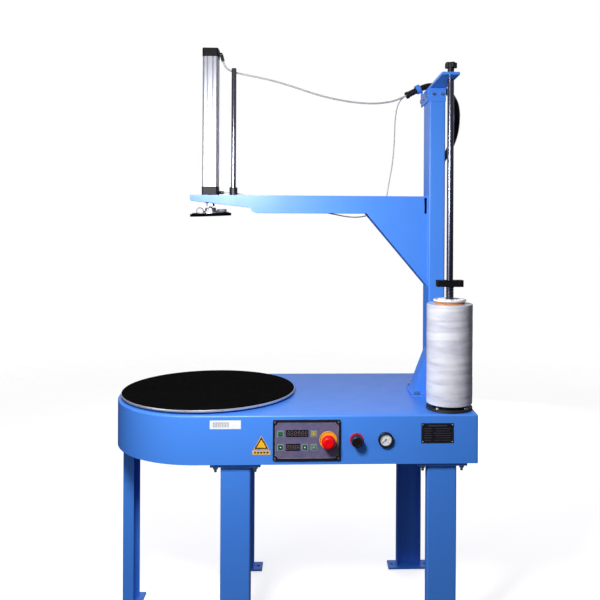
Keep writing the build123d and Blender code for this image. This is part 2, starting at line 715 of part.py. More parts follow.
PISTON_TOP = 1095
ROD_LOW = 600
BALL_STUD_R = 5
with BuildPart() as piston_rod:
    with BuildSketch(level(0, 0, PISTON_TOP - 25)):
        Circle(PISTON_R)
    extrude(amount=25)
    chamfer(piston_rod.edges().filter_by(GeomType.CIRCLE), 1)
    with BuildSketch(level(0, 0, 614)):
        Circle(ROD_R)
    extrude(amount=PISTON_TOP - 25 - 614)
    with BuildSketch(level(0, 0, 614)):
        RegularPolygon(13, 6)
    extrude(amount=10)
    with BuildSketch(level(0, 0, ROD_LOW)):
        Circle(BALL_STUD_R)
    extrude(amount=614 - ROD_LOW)
finish(piston_rod, "piston_rod")

YOKE_LOW = 624
YOKE_THICK = 12
with BuildPart() as guide_rod:
    with BuildSketch(level(GUIDE_X, 0, YOKE_LOW)):
        Circle(ROD_R)
    extrude(amount=1069 - YOKE_LOW)
    chamfer(guide_rod.edges().filter_by(GeomType.CIRCLE).group_by(Axis.Z)[-1], 1)
finish(guide_rod, "guide_rod")

with BuildPart() as guide_bushing:
    with BuildSketch(level(GUIDE_X, 0, 641)):
        Circle(BUSHING_R)
    extrude(amount=35)
    fillet(guide_bushing.edges().group_by(Axis.Z)[-1], 1.5)
    with BuildSketch(level(GUIDE_X, 0, 641)):
        Circle(ROD_BORE)
    extrude(amount=35, mode=Mode.SUBTRACT)
finish(guide_bushing, "guide_bushing")

with BuildPart() as press_yoke:
    with BuildSketch(level(GUIDE_X / 2, 0, YOKE_LOW)):
        RectangleRounded(110, 32, 6)
        with Locations((-GUIDE_X / 2, 0), (GUIDE_X / 2, 0)):
            Circle(ROD_R, mode=Mode.SUBTRACT)
    extrude(amount=YOKE_THICK)
finish(press_yoke, "press_yoke")

# The press head tilts on the rod's end; its parts share one leaning frame
LEAN = (-sin(radians(PRESS_TILT)), 0, cos(radians(PRESS_TILT)))


def press_plane(height):
    """Plane of the tilted press head, a height above its pivot."""
    return leaning(LEAN[0] * height, 0, PRESS_PIVOT_Z + LEAN[2] * height, LEAN)


SWIVEL_LOW = -13
PLATE_HIGH = SWIVEL_LOW - FIT
PLATE_THICK = 3
PAD_THICK = 9
SPIGOT_R = 6
with BuildPart() as press_swivel:
    with BuildSketch(press_plane(SWIVEL_LOW)):
        Circle(25)
    extrude(amount=5)
    with BuildSketch(press_plane(SWIVEL_LOW + 5)):
        Circle(18)
    extrude(amount=10)
    fillet(press_swivel.edges().filter_by(GeomType.CIRCLE).sort_by(Axis.Z)[-1], 3)
    with BuildSketch(press_plane(2.5)):
        Circle(BALL_STUD_R + 2)
    extrude(amount=-9.5, mode=Mode.SUBTRACT)
    with BuildSketch(press_plane(SWIVEL_LOW)):
        Circle(SPIGOT_R + RUNNING)
    extrude(amount=5, mode=Mode.SUBTRACT)
finish(press_swivel, "press_swivel")

with BuildPart() as press_plate:
    with BuildSketch(press_plane(PLATE_HIGH - PLATE_THICK)):
        Circle(60)
    extrude(amount=PLATE_THICK)
    chamfer(press_plate.edges().filter_by(GeomType.CIRCLE).sort_by(Axis.Z)[-1], 0.8)
    with BuildSketch(press_plane(PLATE_HIGH)):
        Circle(SPIGOT_R)
    extrude(amount=4.5)
finish(press_plate, "press_plate")

with BuildPart() as press_pad:
    with BuildSketch(press_plane(PLATE_HIGH - PLATE_THICK - PAD_THICK)):
        Circle(PAD_R)
    extrude(amount=PAD_THICK)
    fillet(press_pad.edges().filter_by(GeomType.CIRCLE), 1.5)
finish(press_pad, "press_pad")

# Push-in fittings on the cylinder's right side: the upper one points down, the lower one right
PORT_X = CAP_SIDE / 2
UPPER_PORT = (32, 8, 1116)
UPPER_LEG = 21
UPPER_TURN = 15
UPPER_DIR = (sin(radians(UPPER_TURN)), 0, -cos(radians(UPPER_TURN)))
LOWER_PORT_Y = 16
LOWER_PORT_Z = 659
LOWER_OUT = 40
with BuildPart() as air_fittings:
    with BuildSketch(sideways(PORT_X, UPPER_PORT[1], UPPER_PORT[2])):
        Circle(6)
    extrude(amount=9)
    with BuildSketch(leaning(*UPPER_PORT, UPPER_DIR)):
        Circle(5.5)
    extrude(amount=UPPER_LEG)
    with BuildSketch(sideways(PORT_X, LOWER_PORT_Y, LOWER_PORT_Z)):
        RegularPolygon(6, 6)
    extrude(amount=7)
    with BuildSketch(sideways(PORT_X + 7, LOWER_PORT_Y, LOWER_PORT_Z)):
        Circle(4.8)
    extrude(amount=LOWER_OUT - PORT_X - 7)
finish(air_fittings, "air_fittings")

# ---------------------------------------------------------------- hoses and conduit


def bend_radii(points, diameter):
    """Radius at each corner of a route, as large as its two runs allow."""
    radii = []
    corners = [Vector(*point) for point in points]
    for before, corner, after in zip(corners, corners[1:], corners[2:]):
        arriving = corner - before
        leaving = after - corner
        turn = arriving.get_angle(leaving)
        shorter = min(arriving.length, leaving.length)
        radii.append(0.45 * shorter / tan(radians(turn) / 2))
    print("radii in diameters", [round(radius / diameter, 1) for radius in radii])
    return radii


def placed(points):
    """Points given from the turntable, in the machine's frame."""
    return [(TURN_X + x, TURN_Y + y, TABLE_Z + z) for x, y, z in points]


UPPER_EXIT = tuple(start + UPPER_LEG * step for start, step in zip(UPPER_PORT, UPPER_DIR))
FACE = [start + BUSH_LONG * step for start, step in zip(MOUTH, MOUTH_OUT)]
UPPER_SOCKET = (FACE[0], FACE[1] - 5, FACE[2])
LOWER_SOCKET = (FACE[0], FACE[1] + 5, FACE[2])


def ahead(point, direction, distance):
    """A point that lies a distance from another along a direction."""
    return tuple(start + distance * step for start, step in zip(point, direction))


UPPER_ROUTE = [
    UPPER_EXIT,
    ahead(UPPER_EXIT, UPPER_DIR, 14),
    (49.5, 12, 1070),
    (67, 18, 1061.5),
    (94, 21, 1055.5),
    (137, 23, 1048),
    (196, 28, 1037),
    (262, 36, 1020),
    (335, 44, 997),
    (400, 52, 982),
    (465, 60, 972),
    (530, 69, 968.5),
    (584, 77, 973.5),
    ahead(UPPER_SOCKET, MOUTH_OUT, 32),
    UPPER_SOCKET,
]
LOWER_ROUTE = [
    LOWER_SOCKET,
    ahead(LOWER_SOCKET, MOUTH_OUT, 13),
    (633, 94, 977),
    (625, 91, 953),
    (619, 85, 914),
    (617, 77, 861),
    (613, 65, 805),
    (605, 50, 748),
    (594, 38, 697),
    (588, 33, 657),
    (580, 32, 628),
    (558, 30, 604),
    (525, 26, 586),
    (489, 23, 579),
    (453, 21, 580.5),
    (415, 20, 588),
    (370, 20, 597),
    (318, 21, 603),
    (265, 22, 608),
    (218, 23, 615),
    (180, 24, 626),
    (147, 24.5, 638.5),
    (116, 24, 649.5),
    (88, 21, 656.5),
    (62, LOWER_PORT_Y, LOWER_PORT_Z),
    (LOWER_OUT, LOWER_PORT_Y, LOWER_PORT_Z),
]
CONDUIT_ROUTE = [
    MOUTH,
    ahead(MOUTH, MOUTH_OUT, -58),
    (751, 90, 1037.5),
    (782, 88, 1028.5),
    (808.5, 84, 1009),
    (826, 79, 981.5),
    (832.5, 75, 949),
    (832, 73, 912),
    (828, 73, 876),
    (818, 75, 841),
    (803, 78, 808),
    (784, 82, 778),
    (765, 85, 747),
    (752, 87, 714),
    (CONDUIT_END[0], CONDUIT_END[1], 679),
    CONDUIT_END,
]

with BuildPart() as upper_air_hose:
    points = placed(UPPER_ROUTE)
    with BuildLine() as upper_line:
        FilletPolyline(*points, radius=bend_radii(points, 2 * HOSE_R))
    with BuildSketch(Plane(origin=upper_line.line @ 0, z_dir=upper_line.line % 0)):
        Circle(HOSE_R)
    sweep()
print("upper hose length", round(upper_line.wires()[0].length), "volume ratio",
      round(upper_air_hose.part.volume / (upper_line.wires()[0].length * 3.14159 * HOSE_R**2), 3))
finish(upper_air_hose, "upper_air_hose")

with BuildPart() as lower_air_hose:
    points = placed(LOWER_ROUTE)
    with BuildLine() as lower_line:
        FilletPolyline(*points, radius=bend_radii(points, 2 * THIN_HOSE_R))
    with BuildSketch(Plane(origin=lower_line.line @ 0, z_dir=lower_line.line % 0)):
        Circle(THIN_HOSE_R)
    sweep()
print("lower hose length", round(lower_line.wires()[0].length), "volume ratio",
      round(lower_air_hose.part.volume / (lower_line.wires()[0].length * 3.14159 * THIN_HOSE_R**2), 3))
finish(lower_air_hose, "lower_air_hose")

with BuildPart() as conduit:
    points = placed(CONDUIT_ROUTE)
    with BuildLine() as conduit_line:
        FilletPolyline(*points, radius=bend_radii(points, 2 * CONDUIT_R))
    with BuildSketch(Plane(origin=conduit_line.line @ 0, z_dir=conduit_line.line % 0)):
        Circle(CONDUIT_R)
    sweep()
print("conduit length", round(conduit_line.wires()[0].length), "volume ratio",
      round(conduit.part.volume / (conduit_line.wires()[0].length * 3.14159 * CONDUIT_R**2), 3))
finish(conduit, "conduit")

with BuildPart() as conduit_bush:
    with BuildSketch(leaning(*MOUTH, MOUTH_OUT)):
        Circle(CONDUIT_R + 1)
    extrude(amount=BUSH_LONG)
    fillet(conduit_bush.edges().filter_by(GeomType.CIRCLE).sort_by(Axis.X)[0], 2.5)
finish(conduit_bush, "conduit_bush")

# ---------------------------------------------------------------- control panel

TRAY_BACK = -275
KEYS = {
    "start_key": (246, -53),
    "stop_key": (343, -53),
    "down_key": (246, -92),
    "up_key": (317, -92),
    "set_key": (343, -92),
}
with BuildPart() as control_panel:
    with BuildSketch(facing(PANEL_X, FRONT_Y, PANEL_Z)):
        RectangleRounded(PANEL_WIDE, PANEL_HIGH, 4)
    extrude(amount=5)
    with BuildSketch(facing(PANEL_X, FRONT_Y - 5, PANEL_Z)):
        RectangleRounded(PANEL_WIDE - 12, PANEL_HIGH - 12, 3)
        with Locations(*PANEL_SCREWS):
            Circle(8, mode=Mode.SUBTRACT)
    extrude(amount=-2, mode=Mode.SUBTRACT)
    with BuildSketch(facing(PANEL_X, FRONT_Y, PANEL_Z)):
        Rectangle(PANEL_WIDE - PANEL_CUT - 2, PANEL_HIGH - PANEL_CUT - 2)
    extrude(amount=FRONT_Y - TRAY_BACK)
    with BuildSketch(facing(PANEL_X, FRONT_Y + 1, PANEL_Z)):
        Rectangle(PANEL_WIDE - PANEL_CUT - 7, PANEL_HIGH - PANEL_CUT - 7)
    extrude(amount=-20, mode=Mode.SUBTRACT)
    with BuildSketch(facing(0, FRONT_Y - 5, 0)):
        with Locations(*KEYS.values()):
            Rectangle(KEY_SIDE + 0.6, KEY_SIDE + 0.6)
        with Locations((STOP_X, CONTROL_Z)):
            Circle(11 + FIT)
        with Locations(*[(PANEL_X + x, PANEL_Z + z) for x, z in PANEL_SCREWS]):
            Circle(2 + FIT)
    extrude(amount=-20, mode=Mode.SUBTRACT)
finish(control_panel, "control_panel")

KEY_PROUD = 2.5
KEY_BACK = FRONT_Y + 1.4
for key_name, (key_x, key_z) in KEYS.items():
    with BuildPart() as key:
        with BuildSketch(facing(key_x, KEY_BACK, key_z)):
            Rectangle(KEY_SIDE, KEY_SIDE)
        extrude(amount=KEY_BACK - PANEL_FACE + KEY_PROUD)
        fillet(key.faces().sort_by(Axis.Y)[0].edges(), 0.8)
        with BuildSketch(facing(key_x, KEY_BACK, key_z)):
            Rectangle(KEY_SIDE + 3, KEY_SIDE + 3)
        extrude(amount=-1)
    finish(key, key_name)

COLLAR_R = 26
COLLAR_THICK = 3
STEM_R = 5
with BuildPart() as stop_collar:
    with BuildSketch(facing(STOP_X, PANEL_FACE, CONTROL_Z)):
        Circle(COLLAR_R)
    extrude(amount=COLLAR_THICK)
    fillet(stop_collar.faces().sort_by(Axis.Y)[0].edges(), 0.8)
    with BuildSketch(facing(STOP_X, PANEL_FACE - COLLAR_THICK, CONTROL_Z)):
        Circle(15)
    extrude(amount=8)
    with BuildSketch(facing(STOP_X, PANEL_FACE, CONTROL_Z)):
        Circle(11)
    extrude(amount=-27)
    with BuildSketch(facing(STOP_X, FRONT_Y + 1, CONTROL_Z)):
        Circle(15)
    extrude(amount=-5)
    with BuildSketch(facing(STOP_X, PANEL_FACE - COLLAR_THICK - 8, CONTROL_Z)):
        Circle(STEM_R + RUNNING)
    extrude(amount=-COLLAR_THICK - 8 - 27, mode=Mode.SUBTRACT)
finish(stop_collar, "stop_collar")

STOP_FRONT = -329
HEAD_BACK = -308.5
with BuildPart() as stop_button:
    with BuildSketch(facing(STOP_X, HEAD_BACK, CONTROL_Z)):
        Circle(20)
    extrude(amount=HEAD_BACK - STOP_FRONT)
    fillet(stop_button.faces().sort_by(Axis.Y)[0].edges(), 6)
    fillet(stop_button.faces().sort_by(Axis.Y)[-1].edges(), 2)
    with BuildSketch(facing(STOP_X, HEAD_BACK, CONTROL_Z)):
        Circle(STEM_R)
    extrude(amount=-36)
finish(stop_button, "stop_button")

with BuildPart() as regulator_body:
    with BuildSketch(facing(REGULATOR_X, FRONT_Y, CONTROL_Z)):
        Circle(15)
    extrude(amount=-SHEET)
    with BuildSketch(facing(REGULATOR_X, FRONT_Y + SHEET, CONTROL_Z)):
        Circle(19)
    extrude(amount=-58)
    with BuildSketch(facing(REGULATOR_X, FRONT_Y, CONTROL_Z)):
        Circle(20)
    extrude(amount=3)
    with BuildSketch(facing(REGULATOR_X, FRONT_Y - 3, CONTROL_Z)):
        Circle(4 + RUNNING)
    extrude(amount=-24, mode=Mode.SUBTRACT)
finish(regulator_body, "regulator_body")

with BuildPart() as regulator_knob:
    with BuildSketch(facing(REGULATOR_X, FRONT_Y - 3.5, CONTROL_Z)):
        Circle(16.5)
    extrude(amount=26, taper=2)
    fillet(regulator_knob.faces().sort_by(Axis.Y)[0].edges(), 2.5)
    with BuildSketch(facing(REGULATOR_X, FRONT_Y - 3.5, CONTROL_Z)):
        Circle(4)
    extrude(amount=-22)
finish(regulator_knob, "regulator_knob")

GAUGE_FRONT = FRONT_Y - 10
DIAL_Y = FRONT_Y - 4
with BuildPart() as pressure_gauge:
    with BuildSketch(facing(GAUGE_X, FRONT_Y, CONTROL_Z)):
        Circle(22.2)
    extrude(amount=10)
    fillet(pressure_gauge.faces().sort_by(Axis.Y)[0].edges(), 2)
    with BuildSketch(facing(GAUGE_X, FRONT_Y, CONTROL_Z)):
        Circle(20)
    extrude(amount=-26)
    with BuildSketch(facing(GAUGE_X, FRONT_Y + 26, CONTROL_Z)):
        RegularPolygon(8, 6)
    extrude(amount=-12)
    with BuildSketch(facing(GAUGE_X, GAUGE_FRONT, CONTROL_Z)):
        Circle(17)
    extrude(amount=-6, mode=Mode.SUBTRACT)
    with BuildSketch(facing(GAUGE_X, DIAL_Y, CONTROL_Z)):
        Circle(1 + RUNNING)
    extrude(amount=-6, mode=Mode.SUBTRACT)
finish(pressure_gauge, "pressure_gauge")

NEEDLE_REST = 225
with BuildPart() as gauge_needle:
    with BuildSketch(facing(GAUGE_X, DIAL_Y - 1.2, CONTROL_Z)):
        Circle(2.6)
        with BuildLine():
            Polyline(
                *[
                    (length * cos(radians(NEEDLE_REST)) - wide * sin(radians(NEEDLE_REST)),
                     length * sin(radians(NEEDLE_REST)) + wide * cos(radians(NEEDLE_REST)))
                    for length, wide in ((-4, -1), (13.5, -0.35), (13.5, 0.35), (-4, 1))
                ],
                close=True,
            )
        make_face()
    extrude(amount=0.9)
    with BuildSketch(facing(GAUGE_X, DIAL_Y - 1.2, CONTROL_Z)):
        Circle(1)
    extrude(amount=-6)
finish(gauge_needle, "gauge_needle")

# ---------------------------------------------------------------- inside the cabinet

with BuildPart() as controller_box:
    with BuildSketch(level(294, -215, COVER_TOP + 16)):
        RectangleRounded(130, 66, 4)
    extrude(amount=100)
    fillet(controller_box.faces().sort_by(Axis.Z)[-1].edges(), 3)
    with BuildSketch(level(294, -215, COVER_TOP)):
        with Locations((-50, 0), (50, 0)):
            Rectangle(16, 50)
    extrude(amount=16)
finish(controller_box, "controller_box")

with BuildPart() as solenoid_valve:
    with BuildSketch(level(510, -150, COVER_TOP)):
        Rectangle(96, 28)
    extrude(amount=40)
    chamfer(solenoid_valve.edges().filter_by(Axis.Z), 2)
    with BuildSketch(level(510, -150, COVER_TOP + 40)):
        with Locations((-28, 0), (0, 0), (28, 0)):
            Circle(6)
    extrude(amount=8)
finish(solenoid_valve, "solenoid_valve")

with BuildPart() as inlet_fittings:
    for inlet_x, inlet_y, bore in INLETS.values():
        with BuildSketch(level(inlet_x, inlet_y, -SKIRT)):
            RegularPolygon(13, 6)
        extrude(amount=-7)
        with BuildSketch(level(inlet_x, inlet_y, -SKIRT - 7)):
            Circle(9.5)
        extrude(amount=-9)
        with BuildSketch(level(inlet_x, inlet_y, -SKIRT)):
            Circle(INLET_BODY_R)
        extrude(amount=12)
        with BuildSketch(level(inlet_x, inlet_y, -SKIRT - 16)):
            Circle(bore)
        extrude(amount=28, mode=Mode.SUBTRACT)
finish(inlet_fittings, "inlet_fittings")

# ---------------------------------------------------------------- fasteners

# Hex bolts: plane under the head, shank radius, width across flats, head height, shank length
GRIP = SHEET + FLANGE_PLATE
hex_bolts = [(level(x, y, BASE_PLATE), M10_R, 17, 6.5, 22) for x, y in COLUMN_BOLTS]
for offset_x in (-14, 14):
    head = facing(COLUMN_MID + offset_x, COLUMN_Y0 - FLANGE_THICK, 980)
    hex_bolts.append((head, M6_R, 10, 4, 16))
for offset_y, shank in ((-32, 14), (32, 14), (92, 12)):
    head = Plane(origin=sideways(BRACKET_X, offset_y, 981).origin, z_dir=(-1, 0, 0))
    hex_bolts.append((head, M6_R, 10, 4, shank))

# Leg bolts, each with a nut under the flange plate
nuts = []
for leg_name, (leg_x, leg_y, along, _) in LEGS.items():
    for bolt_x, bolt_y in leg_bolts(leg_name):
        spot = leg_plane(leg_x, leg_y, along, COVER_TOP).from_local_coords((bolt_x, bolt_y, 0))
        hex_bolts.append((Plane(origin=spot), M8_R, 13, 5.5, GRIP + 15))
        nuts.append(Plane(origin=spot).offset(-GRIP))

# Button-head screws: plane under the head, shank radius, head radius, head height, shank length
round_screws = []
for quarter in range(4):
    turn = radians(45 + 90 * quarter)
    housing_spot = level(HOUSING_PCR * cos(turn), HOUSING_PCR * sin(turn), 0)
    round_screws.append((housing_spot, M6_R, 5.2, 3.2, 11))
    spindle_spot = level(SPINDLE_X + SPINDLE_PCR * cos(turn), SPINDLE_Y + SPINDLE_PCR * sin(turn), 8)
    round_screws.append((spindle_spot, M8_R, 7, 4.4, 20))
for tab_x, tab_y in COVER_TABS:
    under = Plane(origin=level(tab_x, tab_y, -SKIRT).origin, z_dir=(0, 0, -1))
    round_screws.append((under, M6_R, 5.2, 3.2, 9))
for screw_x, screw_z in PANEL_SCREWS:
    front = facing(PANEL_X + screw_x, FRONT_Y - 5, PANEL_Z + screw_z)
    round_screws.append((front, 2, 3.8, 2.2, 10))

with BuildPart() as fasteners:
    for plane, shank_r, across, head_high, shank_long in hex_bolts:
        with BuildSketch(plane):
            RegularPolygon(across / 2, 6, major_radius=False)
        extrude(amount=head_high)
        with BuildSketch(plane):
            Circle(shank_r)
        extrude(amount=-shank_long)
    for plane in nuts:
        with BuildSketch(plane):
            RegularPolygon(6.5, 6, major_radius=False)
        extrude(amount=-6.5)
    for plane, shank_r, head_r, head_high, shank_long in round_screws:
        with BuildSketch(plane):
            Circle(head_r)
        extrude(amount=head_high, taper=15)
        with BuildSketch(plane.offset(head_high)):
            RegularPolygon(shank_r * 0.7, 6)
        extrude(amount=-head_high * 0.6, mode=Mode.SUBTRACT)
        with BuildSketch(plane):
            Circle(shank_r)
        extrude(amount=-shank_long)
finish(fasteners, "fasteners")
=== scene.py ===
"""A table-height turntable stretch wrapper, in metres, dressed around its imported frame."""

from math import cos, pi, radians, sin, tau

import bmesh
import bpy
from mathutils import Matrix, Vector, noise


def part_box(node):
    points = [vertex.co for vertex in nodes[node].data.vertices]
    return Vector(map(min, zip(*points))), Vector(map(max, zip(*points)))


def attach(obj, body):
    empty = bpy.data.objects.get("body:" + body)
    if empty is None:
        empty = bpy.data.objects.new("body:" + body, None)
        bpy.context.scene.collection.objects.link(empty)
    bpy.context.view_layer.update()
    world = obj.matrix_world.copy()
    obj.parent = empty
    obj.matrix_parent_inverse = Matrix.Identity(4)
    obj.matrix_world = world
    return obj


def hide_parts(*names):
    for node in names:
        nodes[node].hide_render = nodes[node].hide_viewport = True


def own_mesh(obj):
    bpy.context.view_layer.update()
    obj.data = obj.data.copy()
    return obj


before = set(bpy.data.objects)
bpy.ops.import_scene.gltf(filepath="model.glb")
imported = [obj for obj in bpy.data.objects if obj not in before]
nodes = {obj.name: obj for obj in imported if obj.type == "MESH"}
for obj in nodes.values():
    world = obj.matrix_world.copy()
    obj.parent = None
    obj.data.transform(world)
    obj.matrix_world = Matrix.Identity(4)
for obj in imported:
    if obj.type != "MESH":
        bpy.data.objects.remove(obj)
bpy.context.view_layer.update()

# ---------------------------------------------------------------- camera
# A level camera a little above the press arm, turned slightly to the right. Its place, like every
# other one below, is measured from the turntable's axis at the table top: x right, y back, z up.
disc_low, disc_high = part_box("turntable_disc")
TABLE_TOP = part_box("cabinet_shell")[1].z
AXIS = Vector(((disc_low.x + disc_high.x) / 2, (disc_low.y + disc_high.y) / 2, TABLE_TOP))


def at(x, y, z):
    return AXIS + Vector((x, y, z))


camera = bpy.data.objects.new("camera", bpy.data.cameras.new("camera"))
bpy.context.scene.collection.objects.link(camera)
bpy.context.scene.camera = camera
camera.location = at(0.331, -2.390, 0.567)
camera.rotation_euler = (radians(90), radians(-0.3), radians(-2.2))
camera.data.lens = 43.2
camera.data.shift_x = -0.0642
camera.data.shift_y = -0.1318

# ---------------------------------------------------------------- air hoses
# Two soft polyurethane hoses run from the press cylinder's fittings into the bush at the conduit's
# mouth. The 6 mm one feeds the top of the cylinder and the 4 mm one the bottom; both hang slack.
UPPER_EXIT = at(0.03744, 0.008, 1.09572)
UPPER_DIRECTION = Vector((sin(radians(15)), 0, -cos(radians(15))))
CONDUIT_TURN = radians(28.1)
MOUTH_OUT = Vector((-cos(CONDUIT_TURN), 0, -sin(CONDUIT_TURN)))
UPPER_SOCKET = at(0.65678, 0.085, 1.00029)
LOWER_SOCKET = at(0.65678, 0.095, 1.00029)
LOWER_END = at(0.040, 0.016, 0.659)
UPPER_ROUTE = [
    UPPER_EXIT,
    UPPER_EXIT + 0.014 * UPPER_DIRECTION,
    at(0.0495, 0.012, 1.070),
    at(0.067, 0.018, 1.0615),
    at(0.094, 0.021, 1.0555),
    at(0.137, 0.023, 1.048),
    at(0.196, 0.028, 1.037),
    at(0.262, 0.036, 1.020),
    at(0.335, 0.044, 0.997),
    at(0.400, 0.052, 0.982),
    at(0.465, 0.060, 0.972),
    at(0.530, 0.069, 0.9685),
    at(0.584, 0.077, 0.9735),
    UPPER_SOCKET + 0.032 * MOUTH_OUT,
    UPPER_SOCKET,
]
LOWER_ROUTE = [
    LOWER_SOCKET,
    LOWER_SOCKET + 0.013 * MOUTH_OUT,
    at(0.633, 0.094, 0.977),
    at(0.625, 0.091, 0.953),
    at(0.619, 0.085, 0.914),
    at(0.617, 0.077, 0.861),
    at(0.613, 0.065, 0.805),
    at(0.605, 0.050, 0.748),
    at(0.594, 0.038, 0.697),
    at(0.588, 0.033, 0.657),
    at(0.580, 0.032, 0.628),
    at(0.558, 0.030, 0.604),
    at(0.525, 0.026, 0.586),
    at(0.489, 0.023, 0.579),
    at(0.453, 0.021, 0.5805),
    at(0.415, 0.020, 0.588),
    at(0.370, 0.020, 0.597),
    at(0.318, 0.021, 0.603),
    at(0.265, 0.022, 0.608),
    at(0.218, 0.023, 0.615),
    at(0.180, 0.024, 0.626),
    at(0.147, 0.0245, 0.6385),
    at(0.116, 0.024, 0.6495),
    at(0.088, 0.021, 0.6565),
    at(0.062, 0.016, 0.659),
    LOWER_END,
]


class Value:
    """What comes out of a shader node. Arithmetic on it adds Math nodes."""

    def __init__(self, tree, socket):
        self.tree = tree
        self.socket = socket

    def node(self, kind, settings, sockets, output=0):
        """Add a node: its settings first, then the values or links of its sockets."""
        made = self.tree.nodes.new(kind)
        for name, setting in settings.items():
            if name == "stops":
                ramp = made.color_ramp
                while len(ramp.elements) < len(setting):
                    ramp.elements.new(0.5)
                for element, (position, colour) in zip(ramp.elements, setting):
                    element.position = position
                    element.color = (*colour, 1)
            else:
                setattr(made, name, setting)
        for name, given in sockets.items():
            if isinstance(given, Value):
                self.tree.links.new(given.socket, made.inputs[name])
            else:
                made.inputs[name].default_value = given
        return Value(self.tree, made.outputs[output])

    def maths(self, operation, first, second=0.0, clamp=False):
        settings = {"operation": operation, "use_clamp": clamp}
        return self.node("ShaderNodeMath", settings, {0: first, 1: second})

    def __add__(self, other):
        return self.maths("ADD", self, other)

    __radd__ = __add__

    def __sub__(self, other):
        return self.maths("SUBTRACT", self, other)

    def __rsub__(self, other):
        return self.maths("SUBTRACT", other, self)

    def __mul__(self, other):
        return self.maths("MULTIPLY", self, other)

    __rmul__ = __mul__

    def noise(self, size, detail=2.0, stretch=(1, 1, 1)):
        """Cloudy pattern, about 0.3 to 0.7, whose blobs are size metres across."""
        scaled = self.node("ShaderNodeMapping", {}, {"Vector": self, "Scale": stretch})
        sockets = {"Vector": scaled, "Scale": 1 / size, "Detail": detail}
        return self.node("ShaderNodeTexNoise", {}, sockets)

    def between(self, low, high):
        """0 below low, 1 above high."""
        limits = {0: self, 1: low, 2: high}
        return self.node("ShaderNodeMapRange", {"clamp": True}, limits)

    def mixed(self, low, high):
        """A colour from low to high, by this value."""
        sockets = {"Factor": self, 6: low, 7: high}
        return self.node("ShaderNodeMix", {"data_type": "RGBA"}, sockets, output=2)

    def bump(self, depth):
        """A normal from this height, of so many metres."""
        return self.node("ShaderNodeBump", {}, {"Height": self, "Distance": depth, "Strength": 1.0})


def colour(red, green, blue):
    """A linear colour with alpha, from screen values of 0 to 255."""
    return tuple(((part / 255 + 0.055) / 1.055) ** 2.4 for part in (red, green, blue)) + (1.0,)


def start_finish(name):
    """A new material, and its point on the object in metres."""
    material = bpy.data.materials.new(name)
    material.use_nodes = True
    tree = material.node_tree
    coordinates = tree.nodes.new("ShaderNodeTexCoord")
    return material, Value(tree, coordinates.outputs["Object"])


def set_surface(material, **sockets):
    """Give the material's surface its values and links."""
    shader = material.node_tree.nodes["Principled BSDF"]
    for name, given in sockets.items():
        socket = shader.inputs[name.replace("_", " ")]
        if isinstance(given, Value):
            material.node_tree.links.new(given.socket, socket)
        else:
            socket.default_value = given


def hose_plastic(name, tint):
    material, point = start_finish(name)
    cloud = point.noise(0.02)
    set_surface(
        material,
        Base_Color=cloud.mixed(colour(*tint), colour(*(part * 0.9 for part in tint))),
        Roughness=0.28 + 0.12 * cloud,
        Normal=point.noise(0.004).bump(0.00005),
        Subsurface_Weight=0.12,
        Subsurface_Radius=(0.004, 0.004, 0.004),
        Subsurface_Scale=1.0,
    )
    return material


def cord_along(name, route, radius):
    """A round cord on one smooth line through its route."""
    data = bpy.data.curves.new(name, "CURVE")
    data.dimensions = "3D"
    spline = data.splines.new("NURBS")
    spline.points.add(len(route) - 1)
    for point, place in zip(spline.points, route):
        point.co = (*place, 1)
    spline.order_u = 3
    spline.use_endpoint_u = True
    data.resolution_u = 10
    data.bevel_depth = radius
    data.bevel_resolution = 5
    data.use_fill_caps = radius > 0
    piece = bpy.data.objects.new(name, data)
    bpy.context.scene.collection.objects.link(piece)
    return piece


hose_grey = hose_plastic("hose_grey", (196, 194, 198))
for name, node, route, radius, length in (
    ("upper_hose_tube", "upper_air_hose", UPPER_ROUTE, 0.003, 0.659),
    ("lower_hose_tube", "lower_air_hose", LOWER_ROUTE, 0.002, 0.959),
):
    hose = cord_along(name, route, radius)
    hose.data.materials.append(hose_grey)
    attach(hose, "frame")
    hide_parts(node)
    2 * radius

# ---------------------------------------------------------------- conduit
# Black corrugated nylon conduit, 22 mm across its ribs. It leaves the clip on the column's bracket,
# loops over to the right and drops behind the column into the terminal box. A bush closes its mouth.
MOUTH = at(0.6656, 0.090, 1.005)
CONDUIT_ROUTE = [
    MOUTH,
    MOUTH - 0.058 * MOUTH_OUT,
    at(0.751, 0.090, 1.0375),
    at(0.782, 0.088, 1.0285),
    at(0.8085, 0.084, 1.009),
    at(0.826, 0.079, 0.9815),
    at(0.8325, 0.075, 0.949),
    at(0.832, 0.073, 0.912),
    at(0.828, 0.073, 0.876),
    at(0.818, 0.075, 0.841),
    at(0.803, 0.078, 0.808),
    at(0.784, 0.082, 0.778),
    at(0.765, 0.085, 0.747),
    at(0.752, 0.087, 0.714),
    at(0.7455, 0.088, 0.679),
    at(0.7455, 0.088, 0.653),
]
CONDUIT_RADIUS = 0.011
RIB_PITCH = 0.0034
RIB_SHAPE = (1.0, 1.0, 0.86, 0.86)


def line_points(route):
    """The points that a cord's smooth line passes through."""
    line = cord_along("line", route, 0)
    line.data.resolution_u = 60
    mesh = bpy.data.meshes.new_from_object(line)
    points = [vertex.co.copy() for vertex in mesh.vertices]
    bpy.data.objects.remove(line)
    bpy.data.meshes.remove(mesh)
    return points


def stepped(points, step):
    """Points a step apart along a line of close points."""
    spaced = [points[0]]
    covered = 0.0
    for before, after in zip(points, points[1:]):
        covered += (after - before).length
        if covered >= step:
            spaced.append(after)
            covered -= step
    return spaced


